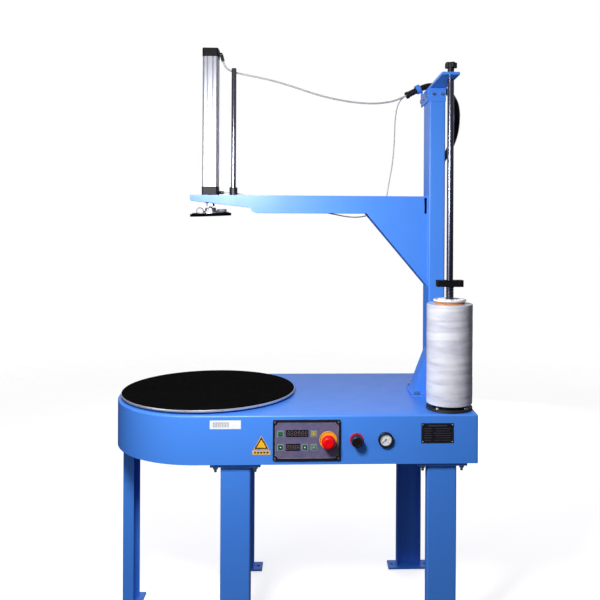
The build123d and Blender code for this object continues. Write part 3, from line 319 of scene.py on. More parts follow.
conduit_line = stepped(line_points(CONDUIT_ROUTE), RIB_PITCH / len(RIB_SHAPE))
ribs = bpy.data.curves.new("ribs", "CURVE")
ribs.dimensions = "3D"
ribs.bevel_depth = CONDUIT_RADIUS
ribs.bevel_resolution = 6
ribs.use_fill_caps = True
ribs.splines.new("POLY").points.add(len(conduit_line) - 1)
for number, (point, place) in enumerate(zip(ribs.splines[0].points, conduit_line)):
    point.co = (*place, 1)
    point.radius = RIB_SHAPE[number % len(RIB_SHAPE)]
ribbed = bpy.data.objects.new("ribbed", ribs)
bpy.context.scene.collection.objects.link(ribbed)
conduit_mesh = bpy.data.meshes.new_from_object(ribbed)
bpy.data.objects.remove(ribbed)
conduit = bpy.data.objects.new("conduit_flex", conduit_mesh)
bpy.context.scene.collection.objects.link(conduit)
conduit_mesh.shade_smooth()
conduit_mesh.set_sharp_from_angle(angle=radians(40))


def moulded(name, tint, roughness=0.42, grain=0.0012, depth=0.00004, **more):
    """Injection-moulded plastic with a fine spark-eroded grain."""
    material, point = start_finish(name)
    cloud = point.noise(0.03)
    shade = cloud.mixed(colour(*tint), colour(*(min(255, part * 1.12 + 3) for part in tint)))
    set_surface(
        material,
        Base_Color=shade,
        Roughness=roughness - 0.06 + 0.12 * cloud,
        Normal=point.noise(grain, detail=3).bump(depth),
        **more,
    )
    return material


def dress(material, *names):
    """Give CAD nodes a finish."""
    for name in names:
        for slot in nodes[name].material_slots:
            slot.material = material


conduit_black = moulded("conduit_black", (24, 24, 27), roughness=0.36)
conduit_mesh.materials.clear()
conduit_mesh.materials.append(conduit_black)
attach(conduit, "frame")
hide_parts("conduit")
black_plastic = moulded("black_plastic", (20, 20, 22))
dress(black_plastic, "conduit_bush", "air_fittings", "guide_bushing", "inlet_fittings", "spindle_knob",
      "control_panel", "regulator_body", "pressure_gauge")

# ---------------------------------------------------------------- studio
# A pale floor that fades into an even white room. The main lamp stands to the left in front, at the
# height of the press, with a weak lamp at the left side and another behind.
FLOOR_RADIUS = 5.0
LAMP_AIM = at(0.30, 0, 0.20)
SOFT_AIM = at(0.35, 0, 0.20)


def studio_lamp(name, place, aim, side, power):
    lamp = bpy.data.objects.new(name, bpy.data.lights.new(name, "AREA"))
    bpy.context.scene.collection.objects.link(lamp)
    lamp.data.shape = "SQUARE"
    lamp.data.size = side
    lamp.data.energy = power
    lamp.visible_camera = False
    lamp.location = place
    lamp.rotation_euler = (aim - place).to_track_quat("-Z", "Y").to_euler()
    return lamp


ground = bmesh.new()
bmesh.ops.create_circle(ground, cap_ends=True, segments=64, radius=FLOOR_RADIUS)
floor = bpy.data.objects.new("floor", bpy.data.meshes.new("floor"))
ground.to_mesh(floor.data)
ground.free()
bpy.context.scene.collection.objects.link(floor)
pale, point = start_finish("pale_floor")
seen = point.node("ShaderNodeLightPath", {}, {})
set_surface(pale, Base_Color=seen.mixed(colour(60, 60, 62), colour(253, 253, 253)),
            Roughness=point.noise(0.5) * 0.2 + 0.6, Emission_Color=seen.mixed((0, 0, 0, 1), (1, 1, 1, 1)),
            Emission_Strength=0.62)
from_middle = point.node("ShaderNodeVectorMath", {"operation": "LENGTH"}, {0: point}, output=1)
clear = point.node("ShaderNodeBsdfTransparent", {}, {})
shaders = pale.node_tree.nodes
solid = Value(pale.node_tree, shaders["Principled BSDF"].outputs[0])
edge = from_middle.between(FLOOR_RADIUS * 0.4, FLOOR_RADIUS * 0.95)
faded = edge.node("ShaderNodeMixShader", {}, {0: edge, 1: solid, 2: clear})
pale.node_tree.links.new(faded.socket, shaders["Material Output"].inputs["Surface"])
floor.data.materials.append(pale)

studio_lamp("main_lamp", at(-0.04, -1.12, 0.82), LAMP_AIM, 0.30, 20)
studio_lamp("side_lamp", at(-2.2, -1.6, 0.5), SOFT_AIM, 1.0, 11)
back_lamp = studio_lamp("back_lamp", at(0.9, 2.8, 0.3), SOFT_AIM, 1.5, 20)
back_lamp.visible_glossy = False

# The room is dim below and in front, pale behind like a paper backdrop, and white where it is seen.
room = bpy.data.worlds.new("room")
room.use_nodes = True
bpy.context.scene.world = room
tree = room.node_tree
direction = Value(tree, tree.nodes.new("ShaderNodeTexCoord").outputs["Generated"])
height = direction.node("ShaderNodeSeparateXYZ", {}, {"Vector": direction}, output=2)
back = direction.node("ShaderNodeSeparateXYZ", {}, {"Vector": direction}, output=1)
light = height.node("ShaderNodeValToRGB", {"stops": [
    (0.0, (0.01, 0.01, 0.015)),
    (0.46, (0.02, 0.02, 0.03)),
    (0.56, (0.15, 0.15, 0.18)),
    (1.0, (0.30, 0.30, 0.32)),
]}, {"Fac": 0.5 * height + 0.5})
backdrop = back.between(0.3, 0.8) * height.between(0.02, 0.10) * height.between(0.6, 0.4)
light = backdrop.mixed(light, (0.62, 0.58, 0.58, 1))
seen = direction.node("ShaderNodeLightPath", {}, {})
shown = seen.mixed(light, (1, 1, 1, 1))
tree.links.new(shown.socket, tree.nodes["Background"].inputs["Color"])
bpy.context.scene.view_settings.view_transform = "Standard"

# ---------------------------------------------------------------- cabinet, legs and steelwork
# Folded and welded 3 mm steel sheet on five C-channel legs, with the column, its brackets and the
# arm, all powder-coated the same blue. Powder coat has a fine orange peel and a soft gloss.
blue_paint, point = start_finish("blue_paint")
drift = point.noise(0.35, detail=1)
peel = point.noise(0.0022, detail=1)
set_surface(
    blue_paint,
    Base_Color=drift.mixed(colour(68, 136, 238), colour(76, 144, 243)),
    Roughness=0.34 + 0.16 * point.noise(0.06),
    Normal=peel.bump(0.00006),
    Coat_Weight=0.15,
    Coat_Roughness=0.2,
)
dress(blue_paint, "cabinet_shell", "bottom_cover", "leg_front_left", "leg_front_right", "leg_rear_left",
      "leg_rear_right", "leg_left_end", "column", "spindle_bracket", "conduit_bracket", "arm")

# ---------------------------------------------------------------- turntable
# A steel disc with a polished aluminium edging strip, held by countersunk screws round its rim, and
# a thin black rubber mat glued on top so that cartons don't slide.
DISC_RADIUS = (disc_high.x - disc_low.x) / 2
STRIP_EDGE = 0.0016
RIM_SCREWS = 16
FIRST_SCREW = radians(-51.75)


def turned(profile, steps=64):
    """Spin a line of (radius, height) points once round Z."""
    shape = bmesh.new()
    corners = [shape.verts.new((radius, 0, height)) for radius, height in profile]
    edges = [shape.edges.new(pair) for pair in zip(corners, corners[1:])]
    bmesh.ops.spin(shape, geom=corners + edges, cent=(0, 0, 0), axis=(0, 0, 1), angle=tau,
                   steps=steps, use_merge=True)
    bmesh.ops.remove_doubles(shape, verts=shape.verts, dist=1e-6)
    return shape


def block(size, edge=0.0, segments=2):
    """A box of that size, standing on its middle, with rounded edges."""
    shape = bmesh.new()
    bmesh.ops.create_cube(shape, size=1)
    bmesh.ops.scale(shape, vec=size, verts=shape.verts)
    bmesh.ops.translate(shape, vec=(0, 0, size[2] / 2), verts=shape.verts)
    if edge:
        bmesh.ops.bevel(shape, geom=shape.edges[:], offset=edge, offset_type="OFFSET", segments=segments,
                        profile=0.5, affect="EDGES", material=-1)
    return shape


def rod(radius, length, edge=0.0, sides=24):
    """A round or many-sided bar along Z from 0, with a chamfer or round at its far end."""
    shape = bmesh.new()
    bmesh.ops.create_cone(shape, cap_ends=True, segments=sides, radius1=radius, radius2=radius,
                          depth=length)
    bmesh.ops.translate(shape, vec=(0, 0, length / 2), verts=shape.verts)
    if edge:
        far = [line for line in shape.edges if all(end.co.z > length * 0.99 for end in line.verts)]
        bmesh.ops.bevel(shape, geom=far, offset=edge, offset_type="OFFSET", segments=2, profile=0.5,
                        affect="EDGES", material=-1)
    return shape


def put(shape, *places):
    """The shape once at each place, as one shape."""
    together = bmesh.new()
    mesh = bpy.data.meshes.new("part")
    shape.to_mesh(mesh)
    for place in places:
        before = len(together.verts)
        together.from_mesh(mesh)
        together.verts.ensure_lookup_table()
        bmesh.ops.transform(together, matrix=place, verts=together.verts[before:])
    bpy.data.meshes.remove(mesh)
    shape.free()
    return together


def join(*shapes):
    """Several shapes as one."""
    together = bmesh.new()
    for shape in shapes:
        mesh = bpy.data.meshes.new("part")
        shape.to_mesh(mesh)
        together.from_mesh(mesh)
        bpy.data.meshes.remove(mesh)
        shape.free()
    return together


def piece(name, shape, body, finish, slot=None, stands_for=(), sharp=35):
    """Make a shape a finished piece that rides on a body."""
    bmesh.ops.recalc_face_normals(shape, faces=shape.faces)
    mesh = bpy.data.meshes.new(name)
    shape.to_mesh(mesh)
    shape.free()
    mesh.shade_smooth()
    mesh.set_sharp_from_angle(angle=radians(sharp))
    for one in finish if isinstance(finish, (list, tuple)) else [finish]:
        mesh.materials.append(one)
    made = bpy.data.objects.new(name, mesh)
    bpy.context.scene.collection.objects.link(made)
    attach(made, body)
    if stands_for:
        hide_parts(*stands_for)
    return made


def standing(x, y, z):
    """The place of a piece whose own Z stays upright."""
    return Matrix.Translation(at(x, y, z))


def facing(x, y, z):
    """The place of a piece whose own Z looks to the front and whose own Y is up."""
    return Matrix.Translation(at(x, y, z)) @ Matrix.Rotation(pi / 2, 4, "X")


def metal(name, tint, roughness, grain=0.001, stretch=(1, 1, 1), depth=0.00001, **more):
    """Bare metal whose grain can be drawn out along a direction."""
    material, point = start_finish(name)
    lines = point.noise(grain, detail=3, stretch=stretch)
    cloud = point.noise(0.05)
    set_surface(
        material,
        Base_Color=cloud.mixed(colour(*(part * 0.92 for part in tint)), colour(*tint)),
        Metallic=1.0,
        Roughness=roughness - 0.05 + 0.1 * lines + 0.06 * cloud,
        Normal=lines.bump(depth),
        **more,
    )
    return material


edging = metal("bare_steel", (226, 228, 233), 0.30, grain=0.0008, stretch=(1, 1, 0.3))
set_surface(edging, Metallic=0.65)
disc_bottom = disc_low.z - TABLE_TOP
disc_top = disc_high.z - TABLE_TOP
disc = turned([
    (0, disc_bottom),
    (DISC_RADIUS - STRIP_EDGE * 2, disc_bottom),
    (DISC_RADIUS - STRIP_EDGE * 0.5, disc_bottom + 0.0004),
    (DISC_RADIUS, disc_bottom + STRIP_EDGE),
    (DISC_RADIUS, disc_top - STRIP_EDGE),
    (DISC_RADIUS - STRIP_EDGE * 0.3, disc_top - STRIP_EDGE * 0.3),
    (DISC_RADIUS - STRIP_EDGE, disc_top),
    (DISC_RADIUS - STRIP_EDGE * 1.2, disc_top - 0.0002),
    (0, disc_top - 0.0002),
], steps=160)
disc = put(disc, standing(0, 0, 0))
piece("turntable_plate", disc, "turntable", edging, "bare_steel", ["turntable_disc"])
screw = turned([
    (0.0009, -0.0006), (0.0009, 0.0001), (0.0017, 0.0003), (0.0020, 0), (0.0020, -0.001),
], steps=12)
rim_places = []
for number in range(RIM_SCREWS):
    around = Matrix.Rotation(FIRST_SCREW + number * tau / RIM_SCREWS, 4, "Z")
    out = Matrix.Translation((DISC_RADIUS - 0.0002, 0, (disc_bottom + disc_top) / 2))
    rim_places.append(standing(0, 0, 0) @ around @ out @ Matrix.Rotation(pi / 2, 4, "Y"))
black_oxide = metal("black_metal", (52, 52, 56), 0.42, grain=0.0006)
piece("rim_screws", put(screw, *rim_places), "turntable", black_oxide, "bare_steel")

mat_rubber, point = start_finish("mat_rubber")
dust = point.noise(0.09, detail=4)
set_surface(
    mat_rubber,
    Base_Color=dust.mixed(colour(3, 3, 4), colour(8, 8, 10)),
    Roughness=0.62 + 0.25 * point.noise(0.02),
    Normal=point.noise(0.0014, detail=2).bump(0.0001),
    Specular_IOR_Level=0.01,
)
dress(mat_rubber, "turntable_mat", "drive_belt", "press_pad")

# Inside the cabinet: turned steel shaft, bearing housing and pulleys, and the gear motor with its
# controller in grey enamel. They show only from below with the cover off. The same turned steel
# makes the press yoke, and the terminal box behind the column is a grey moulding.
turned_steel = metal("turned_steel", (180, 182, 188), 0.3, grain=0.0006, stretch=(1, 1, 8))
dress(turned_steel, "turntable_shaft", "driven_pulley", "drive_pulley", "bearing_housing",
      "solenoid_valve", "press_yoke")
dress(moulded("drive_paint", (92, 98, 104), roughness=0.38, grain=0.003), "gear_motor", "controller_box")
dress(moulded("box_grey", (150, 152, 154), roughness=0.5), "junction_box")

# ---------------------------------------------------------------- welds
# The gussets, base plate and arm are MIG-welded to the column before painting, so each joint has a
# small rippled bead under the blue coat.
BEAD = 0.0034
RIPPLE = 0.0038


def bead(start, end):
    """A weld bead between two points: overlapping flattened drops."""
    along = end - start
    count = max(2, int(along.length / RIPPLE))
    turn = along.to_track_quat("Z", "Y").to_matrix().to_4x4()
    return [Matrix.Translation(start + along * (number + 0.5) / count) @ turn for number in range(count)]


COLUMN = {"left": 0.715, "right": 0.768, "front": -0.058, "back": 0.060}
PLATE = 0.006
GUSSET = {"wide": 0.053, "high": 0.146, "front": -0.058, "back": 0.026}
ARM = {"front": -0.042, "back": 0.054, "low": 0.372, "high": 0.640, "top": 0.649}
seams = []
for side, wall in ((-1, COLUMN["left"]), (1, COLUMN["right"])):
    toe = wall + side * GUSSET["wide"]
    for y in (GUSSET["front"], GUSSET["back"]):
        seams.append((at(wall + side * 0.003, y, PLATE), at(toe - side * 0.003, y, PLATE)))
        seams.append((at(wall, y, PLATE + 0.004), at(wall, y, GUSSET["high"] - 0.012)))
    seams.append((at(toe, GUSSET["front"], PLATE), at(toe, GUSSET["back"], PLATE)))
seams.append((at(COLUMN["left"], COLUMN["front"], PLATE), at(COLUMN["right"], COLUMN["front"], PLATE)))
seams.append((at(COLUMN["left"], COLUMN["back"], PLATE), at(COLUMN["right"], COLUMN["back"], PLATE)))
for y in (ARM["front"], ARM["back"]):
    seams.append((at(COLUMN["left"], y, ARM["low"]), at(COLUMN["left"], y, ARM["high"])))
seams.append((at(COLUMN["left"], ARM["front"] + 0.002, ARM["top"]),
              at(COLUMN["left"], ARM["back"] - 0.002, ARM["top"])))
drop = bmesh.new()
bmesh.ops.create_icosphere(drop, subdivisions=2, radius=BEAD)
bmesh.ops.scale(drop, vec=(1, 1, 0.95), verts=drop.verts)
places = [place for start, end in seams for place in bead(start, end)]
piece("column_welds", put(drop, *places), "frame", blue_paint, "blue_paint")

# ---------------------------------------------------------------- film spindle
# A ground steel rod between the base and the bracket. The cast base carries the roll's card core; a
# moulded flange, a coil spring and a clamp block press down on the core and brake it.
SPINDLE = (0.754, -0.215)
chrome = metal("chrome_rod", (148, 150, 162), 0.14, grain=0.0005, stretch=(1, 1, 20), depth=0.000004)
dress(chrome, "guide_rod", "piston_rod")
ground_steel = metal("ground_rod", (122, 126, 142), 0.2, grain=0.0005, stretch=(1, 1, 20), depth=0.000004)
dress(ground_steel, "spindle_rod")
dark_iron = moulded("dark_iron", (34, 35, 38), roughness=0.5, grain=0.0016, depth=0.00012)
dress(dark_iron, "spindle_base")
dress(black_oxide, "brake_block", "brake_screw")
dress(metal("bolt_steel", (196, 198, 200), 0.32, grain=0.0006), "fasteners")

# The core is a spirally wound card tube: one long seam climbs round it.
SEAM_RISE = 0.09
card, point = start_finish("card")
axis_x, axis_y, _ = at(*SPINDLE, 0)
centred = point.node("ShaderNodeVectorMath", {"operation": "SUBTRACT"}, {0: point, 1: (axis_x, axis_y, 0)})
parts = [centred.node("ShaderNodeSeparateXYZ", {}, {"Vector": centred}, output=n) for n in range(3)]
turn = parts[0].maths("ARCTAN2", parts[1], parts[0])
climbed = parts[2] * (1 / SEAM_RISE) + turn * (1 / tau)
climb = climbed.maths("FRACT", climbed)
seam = climb.between(0.02, 0.0)
fibre = point.noise(0.0016, detail=4, stretch=(1, 1, 3))
paper = fibre.mixed(colour(176, 106, 54), colour(206, 138, 82))
set_surface(
    card,
    Base_Color=seam.mixed(paper, colour(120, 68, 34)),
    Roughness=0.75 + 0.2 * fibre,
    Normal=(fibre - 2 * seam).bump(0.0002),
)
dress(card, "film_core")

# The roll is stretch film wound tight: its side is glossy, with faint bands where the film was
# folded, slanting wrinkles, and edges that aren't quite level.
film_low, film_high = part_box("film_roll")
FILM_RADIUS = (film_high.x - film_low.x) / 2
CORE_RADIUS = 0.045
FILM_BOTTOM = film_low.z - TABLE_TOP
FILM_TOP = film_high.z - TABLE_TOP
ROUNDING = 0.0022
FILM_ROWS = 120
SIDE_HIGH = FILM_TOP - FILM_BOTTOM - 2 * ROUNDING
side = [(FILM_RADIUS - 0.0006, FILM_BOTTOM + ROUNDING + SIDE_HIGH * row / FILM_ROWS)
        for row in range(FILM_ROWS + 1)]
roll = turned([
    (CORE_RADIUS, FILM_TOP), (CORE_RADIUS, FILM_BOTTOM), (0.058, FILM_BOTTOM),
    (FILM_RADIUS - 0.003, FILM_BOTTOM), (FILM_RADIUS - 0.0012, FILM_BOTTOM + ROUNDING * 0.3), *side,
    (FILM_RADIUS - 0.0012, FILM_TOP - ROUNDING * 0.3), (FILM_RADIUS - 0.003, FILM_TOP),
    (0.064, FILM_TOP - 0.0004), (0.058, FILM_TOP - 0.0001), (0.052, FILM_TOP - 0.0005),
    (CORE_RADIUS, FILM_TOP),
], steps=120)
for vertex in roll.verts:
    flat = Vector((vertex.co.x, vertex.co.y, 0))
    if flat.length > FILM_RADIUS - 0.002:
        outward = flat.normalized()
        band = noise.noise(Vector((0.3, 0.7, vertex.co.z * 55)))
        slant = noise.noise(Vector((outward.x * 2.2, outward.y * 2.2, vertex.co.z * 26 + outward.x * 5)))
        vertex.co += outward * (0.00035 * band + 0.0004 * slant)
    elif flat.length > CORE_RADIUS + 0.001:
        vertex.co.z += 0.0004 * noise.noise(flat * 60)
film, point = start_finish("film")
along = point.node("ShaderNodeMapping", {}, {"Vector": point, "Scale": (1, 1, 26)})
bands = along.noise(0.35, detail=3)
slant = {"Vector": point, "Rotation": (0, radians(38), radians(20)), "Scale": (1, 1, 5)}
slanted = point.node("ShaderNodeMapping", {}, slant)
wrinkles = slanted.noise(0.075, detail=4)
clouded = bands.between(0.36, 0.62) * 0.5 + wrinkles.between(0.38, 0.62) * 0.5
set_surface(
    film,
    Base_Color=clouded.mixed(colour(196, 197, 212), colour(236, 237, 244)),
    Roughness=0.24 + 0.22 * wrinkles,
    Coat_Weight=wrinkles.between(0.45, 0.6) * 0.5,
    Coat_Roughness=0.12,
    Normal=(bands + wrinkles).bump(0.0009),
)
piece("film_wound", put(roll, standing(*SPINDLE, 0)), "film_roll", film, "film", ["film_roll"])

# The flange is a dished white moulding with a raised rim, eight ribs and a hub for the spring.
FLANGE_BOTTOM = 0.326
FLANGE_TOP = 0.331
FLANGE_RADIUS = 0.050
FLANGE_RIBS = 8
dish = turned([
    (0.0102, 0.312), (0.0102, FLANGE_TOP - 0.0005), (0.0110, FLANGE_TOP), (0.0168, FLANGE_TOP),
    (0.0175, FLANGE_TOP - 0.0006), (0.0180, FLANGE_BOTTOM + 0.0016), (0.0405, FLANGE_BOTTOM + 0.0016),
    (0.0412, FLANGE_TOP - 0.0006), (0.0420, FLANGE_TOP), (FLANGE_RADIUS - 0.0014, FLANGE_TOP),
    (FLANGE_RADIUS - 0.0004, FLANGE_TOP - 0.0006), (FLANGE_RADIUS, FLANGE_TOP - 0.0016),
    (FLANGE_RADIUS, FLANGE_BOTTOM + 0.0012), (FLANGE_RADIUS - 0.0010, FLANGE_BOTTOM),
    (0.0380, FLANGE_BOTTOM), (0.0380, 0.312), (0.0350, 0.311), (0.0102, 0.312),
], steps=96)
rib = block((0.0245, 0.0016, 0.0030), 0.0004, 1)
rib_out = Matrix.Translation((0.0293, 0, FLANGE_BOTTOM + 0.0012))
rib_places = [Matrix.Rotation(tau * number / FLANGE_RIBS, 4, "Z") @ rib_out
              for number in range(FLANGE_RIBS)]
white_plastic = moulded("white_plastic", (226, 226, 230), roughness=0.36)
piece("core_flange_moulding", put(join(dish, put(rib, *rib_places)), standing(*SPINDLE, 0)), "film_roll",
      white_plastic, "white_plastic", ["core_flange"])

# The brake spring is a wound wire with its end turns closed up and ground flat.
SPRING_LOW = 0.3313
SPRING_HIGH = 0.3687
WIRE = 0.0011
SPRING_RADIUS = 0.0115
SPRING_TURNS = 9
STEPS_PER_TURN = 28
spring_line = bpy.data.curves.new("spring", "CURVE")
spring_line.dimensions = "3D"
spring_line.bevel_depth = WIRE
spring_line.bevel_resolution = 3
spring_line.use_fill_caps = True
steps = SPRING_TURNS * STEPS_PER_TURN
spring_line.splines.new("POLY").points.add(steps)
for number, spot in enumerate(spring_line.splines[0].points):
    share = number / steps
    climbing = min(1, max(0, 1.12 * share - 0.06))
    rise = SPRING_LOW + WIRE + (SPRING_HIGH - SPRING_LOW - 2 * WIRE) * climbing
    angle = tau * SPRING_TURNS * share
    out = Vector((SPRING_RADIUS * cos(angle), SPRING_RADIUS * sin(angle), 0))
    spot.co = (*(at(*SPINDLE, rise) + out), 1)
coil = bpy.data.objects.new("coil", spring_line)
bpy.context.scene.collection.objects.link(coil)
wound = bmesh.new()
wound.from_mesh(bpy.data.meshes.new_from_object(coil))
bpy.data.objects.remove(coil)
spring_steel = metal("spring_steel", (92, 94, 104), 0.3, grain=0.0004)
spring = piece("brake_coil", wound, "frame", spring_steel, "spring_steel", ["brake_spring"], sharp=60)
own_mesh(spring)

# ---------------------------------------------------------------- press cylinder and head
# An air cylinder with a square extruded aluminium tube between two cast caps, and a ground guide rod
# beside it. The caps are held by socket screws; a rod end, a swivel and a rubber pad hang below.
tube_aluminium, point = start_finish("tube_aluminium")
drawn = point.noise(0.0012, detail=3, stretch=(1, 1, 0.01))
set_surface(
    tube_aluminium,
    Base_Color=drawn.mixed(colour(172, 174, 184), colour(190, 192, 200)),
    Metallic=0.7,
    Roughness=0.30 + 0.12 * drawn,
    Normal=drawn.bump(0.00002),
)
dress(tube_aluminium, "cylinder_tube")
cap_black = moulded("cap_black", (15, 15, 18), roughness=0.46, grain=0.002, depth=0.00006,
                    Specular_IOR_Level=0.2)
dress(cap_black, "cylinder_lower_cap", "cylinder_upper_cap")
CAP_TOP = 1.131
SCREW_SUNK = 0.0052
CAP_SCREW = 0.019
socket_screw = turned([(0, 0.0012), (0.0017, 0.0012), (0.0019, 0.0034), (0.0032, 0.0034), (0.0038, 0.0028),
                       (0.0038, 0), (0, 0)], steps=24)
screw_places = [standing(x, y, CAP_TOP - SCREW_SUNK)
                for x in (-CAP_SCREW, CAP_SCREW) for y in (-CAP_SCREW, CAP_SCREW)]
piece("cap_screws", put(socket_screw, *screw_places), "frame", black_oxide, "black_metal")

# Each push-in fitting ends in a release ring that grips the hose.
ring = turned([
    (0.0031, -0.001), (0.0031, 0.0024), (0.0036, 0.0028), (0.0047, 0.0024), (0.0049, 0.0010),
    (0.0044, -0.001), (0.0031, -0.001),
], steps=28)
small_ring = turned([
    (0.0021, -0.001), (0.0021, 0.0022), (0.0026, 0.0025), (0.0038, 0.0022), (0.0040, 0.0008),
    (0.0036, -0.001), (0.0021, -0.001),
], steps=28)
ring_grey = moulded("release_ring", (60, 62, 70), roughness=0.4)
down_turn = UPPER_DIRECTION.to_track_quat("Z", "Y").to_matrix().to_4x4()
right_turn = Matrix.Rotation(pi / 2, 4, "Y")
upper_ring = put(ring, Matrix.Translation(UPPER_EXIT) @ down_turn)
lower_ring = put(small_ring, Matrix.Translation(LOWER_END) @ right_turn)
piece("hose_rings", join(upper_ring, lower_ring), "frame", ring_grey, "black_plastic")

# The press head: a turned swivel and backing plate over the pad, a black bearing block beside the
# swivel, and a bent spring wire that keeps the head from turning freely.
dress(metal("head_steel", (206, 208, 214), 0.28, grain=0.0006), "press_swivel", "press_plate")
LEAN = radians(-2.3)
PIVOT = at(0, 0, 0.606)
head_place = Matrix.Translation(PIVOT) @ Matrix.Rotation(LEAN, 4, "Y")
bearing_block = block((0.030, 0.020, 0.0095), 0.0012)
bearing_place = head_place @ Matrix.Translation((0.037, -0.004, -0.0133))
piece("press_bearing_block", put(bearing_block, bearing_place), "press_plate", black_plastic,
      "black_plastic")
wire = bpy.data.curves.new("wire", "CURVE")
wire.dimensions = "3D"
wire.bevel_depth = 0.0012
wire.bevel_resolution = 3
wire.use_fill_caps = True
WIRE_POINTS = [
    (-0.044, -0.010, -0.0135), (-0.044, -0.010, -0.006), (-0.0425, -0.010, 0.0005),
    (-0.037, -0.009, 0.003), (-0.030, -0.007, 0.0028), (-0.025, -0.005, -0.001),
    (-0.021, -0.004, -0.0105), (-0.020, -0.004, -0.0135),
]
spline = wire.splines.new("NURBS")
spline.points.add(len(WIRE_POINTS) - 1)
for spot, place in zip(spline.points, WIRE_POINTS):
    spot.co = (*(head_place @ Vector(place)), 1)
spline.order_u = 3
spline.use_endpoint_u = True
bent = bpy.data.objects.new("bent", wire)
bpy.context.scene.collection.objects.link(bent)
clip = bmesh.new()
clip.from_mesh(bpy.data.meshes.new_from_object(bent))
bpy.data.objects.remove(bent)
piece("press_wire_clip", clip, "press_plate", spring_steel, "spring_steel", sharp=60)

# ---------------------------------------------------------------- control panel
# A black moulded frame holds a printed grey overlay with two digit windows and five keys. The
# overlay's corners are cut round the frame's screw pads and it has a thin bright border.
FRONT = -0.289
OVERLAY = -0.2921
PANEL = (0.3225, -0.072)
OVERLAY_SIZE = (0.1845, 0.1055)
PAD_CUT = 0.0083
HOLLOW = 0.086
BORDER = 0.0011
OVERLAY_THICK = 0.0003
overlay = bmesh.new()
bmesh.ops.create_grid(overlay, x_segments=1, y_segments=1, size=0.5)
bmesh.ops.scale(overlay, vec=(*OVERLAY_SIZE, 1), verts=overlay.verts)
bmesh.ops.bevel(overlay, geom=overlay.verts[:], offset=PAD_CUT, offset_type="OFFSET", segments=8,
                profile=HOLLOW, affect="VERTICES", material=-1)
rim = bmesh.ops.inset_region(overlay, faces=overlay.faces[:], thickness=BORDER, use_even_offset=True,
                             use_boundary=True)
for face in rim["faces"]:
    face.material_index = 1


def thicken(sheet, thick):
    """Give a flat shape its thickness, upwards."""
    raised = bmesh.ops.extrude_face_region(sheet, geom=sheet.faces[:])
    for corner in raised["geom"]:
        if isinstance(corner, bmesh.types.BMVert):
            corner.co.z += thick


thicken(overlay, OVERLAY_THICK)
printed, point = start_finish("panel_overlay")
speckle = point.noise(0.0011, detail=3)
mottle = point.noise(0.012, detail=3)
mixed_print = (0.6 * mottle + 0.4 * speckle).between(0.35, 0.65)
set_surface(
    printed,
    Base_Color=mixed_print.mixed(colour(92, 86, 124), colour(112, 104, 134)),
    Roughness=0.46 + 0.1 * speckle,
    Normal=speckle.bump(0.00003),
)
border = moulded("overlay_border", (150, 140, 152), roughness=0.4)
piece("panel_overlay", put(overlay, facing(PANEL[0], OVERLAY, PANEL[1])), "frame", [printed, border],
      "box_grey")

# Two windows, each with a row of unlit seven-segment digits behind a smoked filter.
WINDOWS = [((0.2945, -0.052), (0.0650, 0.0200), 6), ((0.2825, -0.092), (0.0410, 0.0200), 4)]
smoked = moulded("smoked_filter", (8, 7, 9), roughness=0.12, grain=0.004, depth=0.00001)
digit_bar = moulded("digit_segment", (122, 106, 112), roughness=0.35)
SEGMENT = (0.004472, 0.0011, 0.00025)
HALF_WIDE = 0.0031
HALF_HIGH = 0.0062
SLOPE = 0.10
BARS = [(0, HALF_HIGH, 0), (0, 0, 0), (0, -HALF_HIGH, 0)]
BARS += [(side * HALF_WIDE, up * HALF_HIGH / 2, 1) for up in (1, -1) for side in (-1, 1)]
panes = []
digits = []
for (centre_x, centre_z), (wide, high), count in WINDOWS:
    pane = block((wide, high, 0.0009), 0.0003, 1)
    panes.append(put(pane, facing(centre_x, OVERLAY - 0.0002, centre_z)))
    for number in range(count):
        digit_x = centre_x + (number - (count - 1) / 2) * wide / (count + 0.25)
        for across, up, upright in BARS:
            spin = Matrix.Rotation(pi / 2 * upright, 4, "Z")
            bar_x = digit_x + across + SLOPE * up
            digits.append(put(block(SEGMENT), facing(bar_x, OVERLAY - 0.0010, centre_z + up) @ spin))
piece("display_windows", join(*panes), "frame", smoked, "black_plastic")
piece("display_digits", join(*digits), "frame", digit_bar, "box_grey")

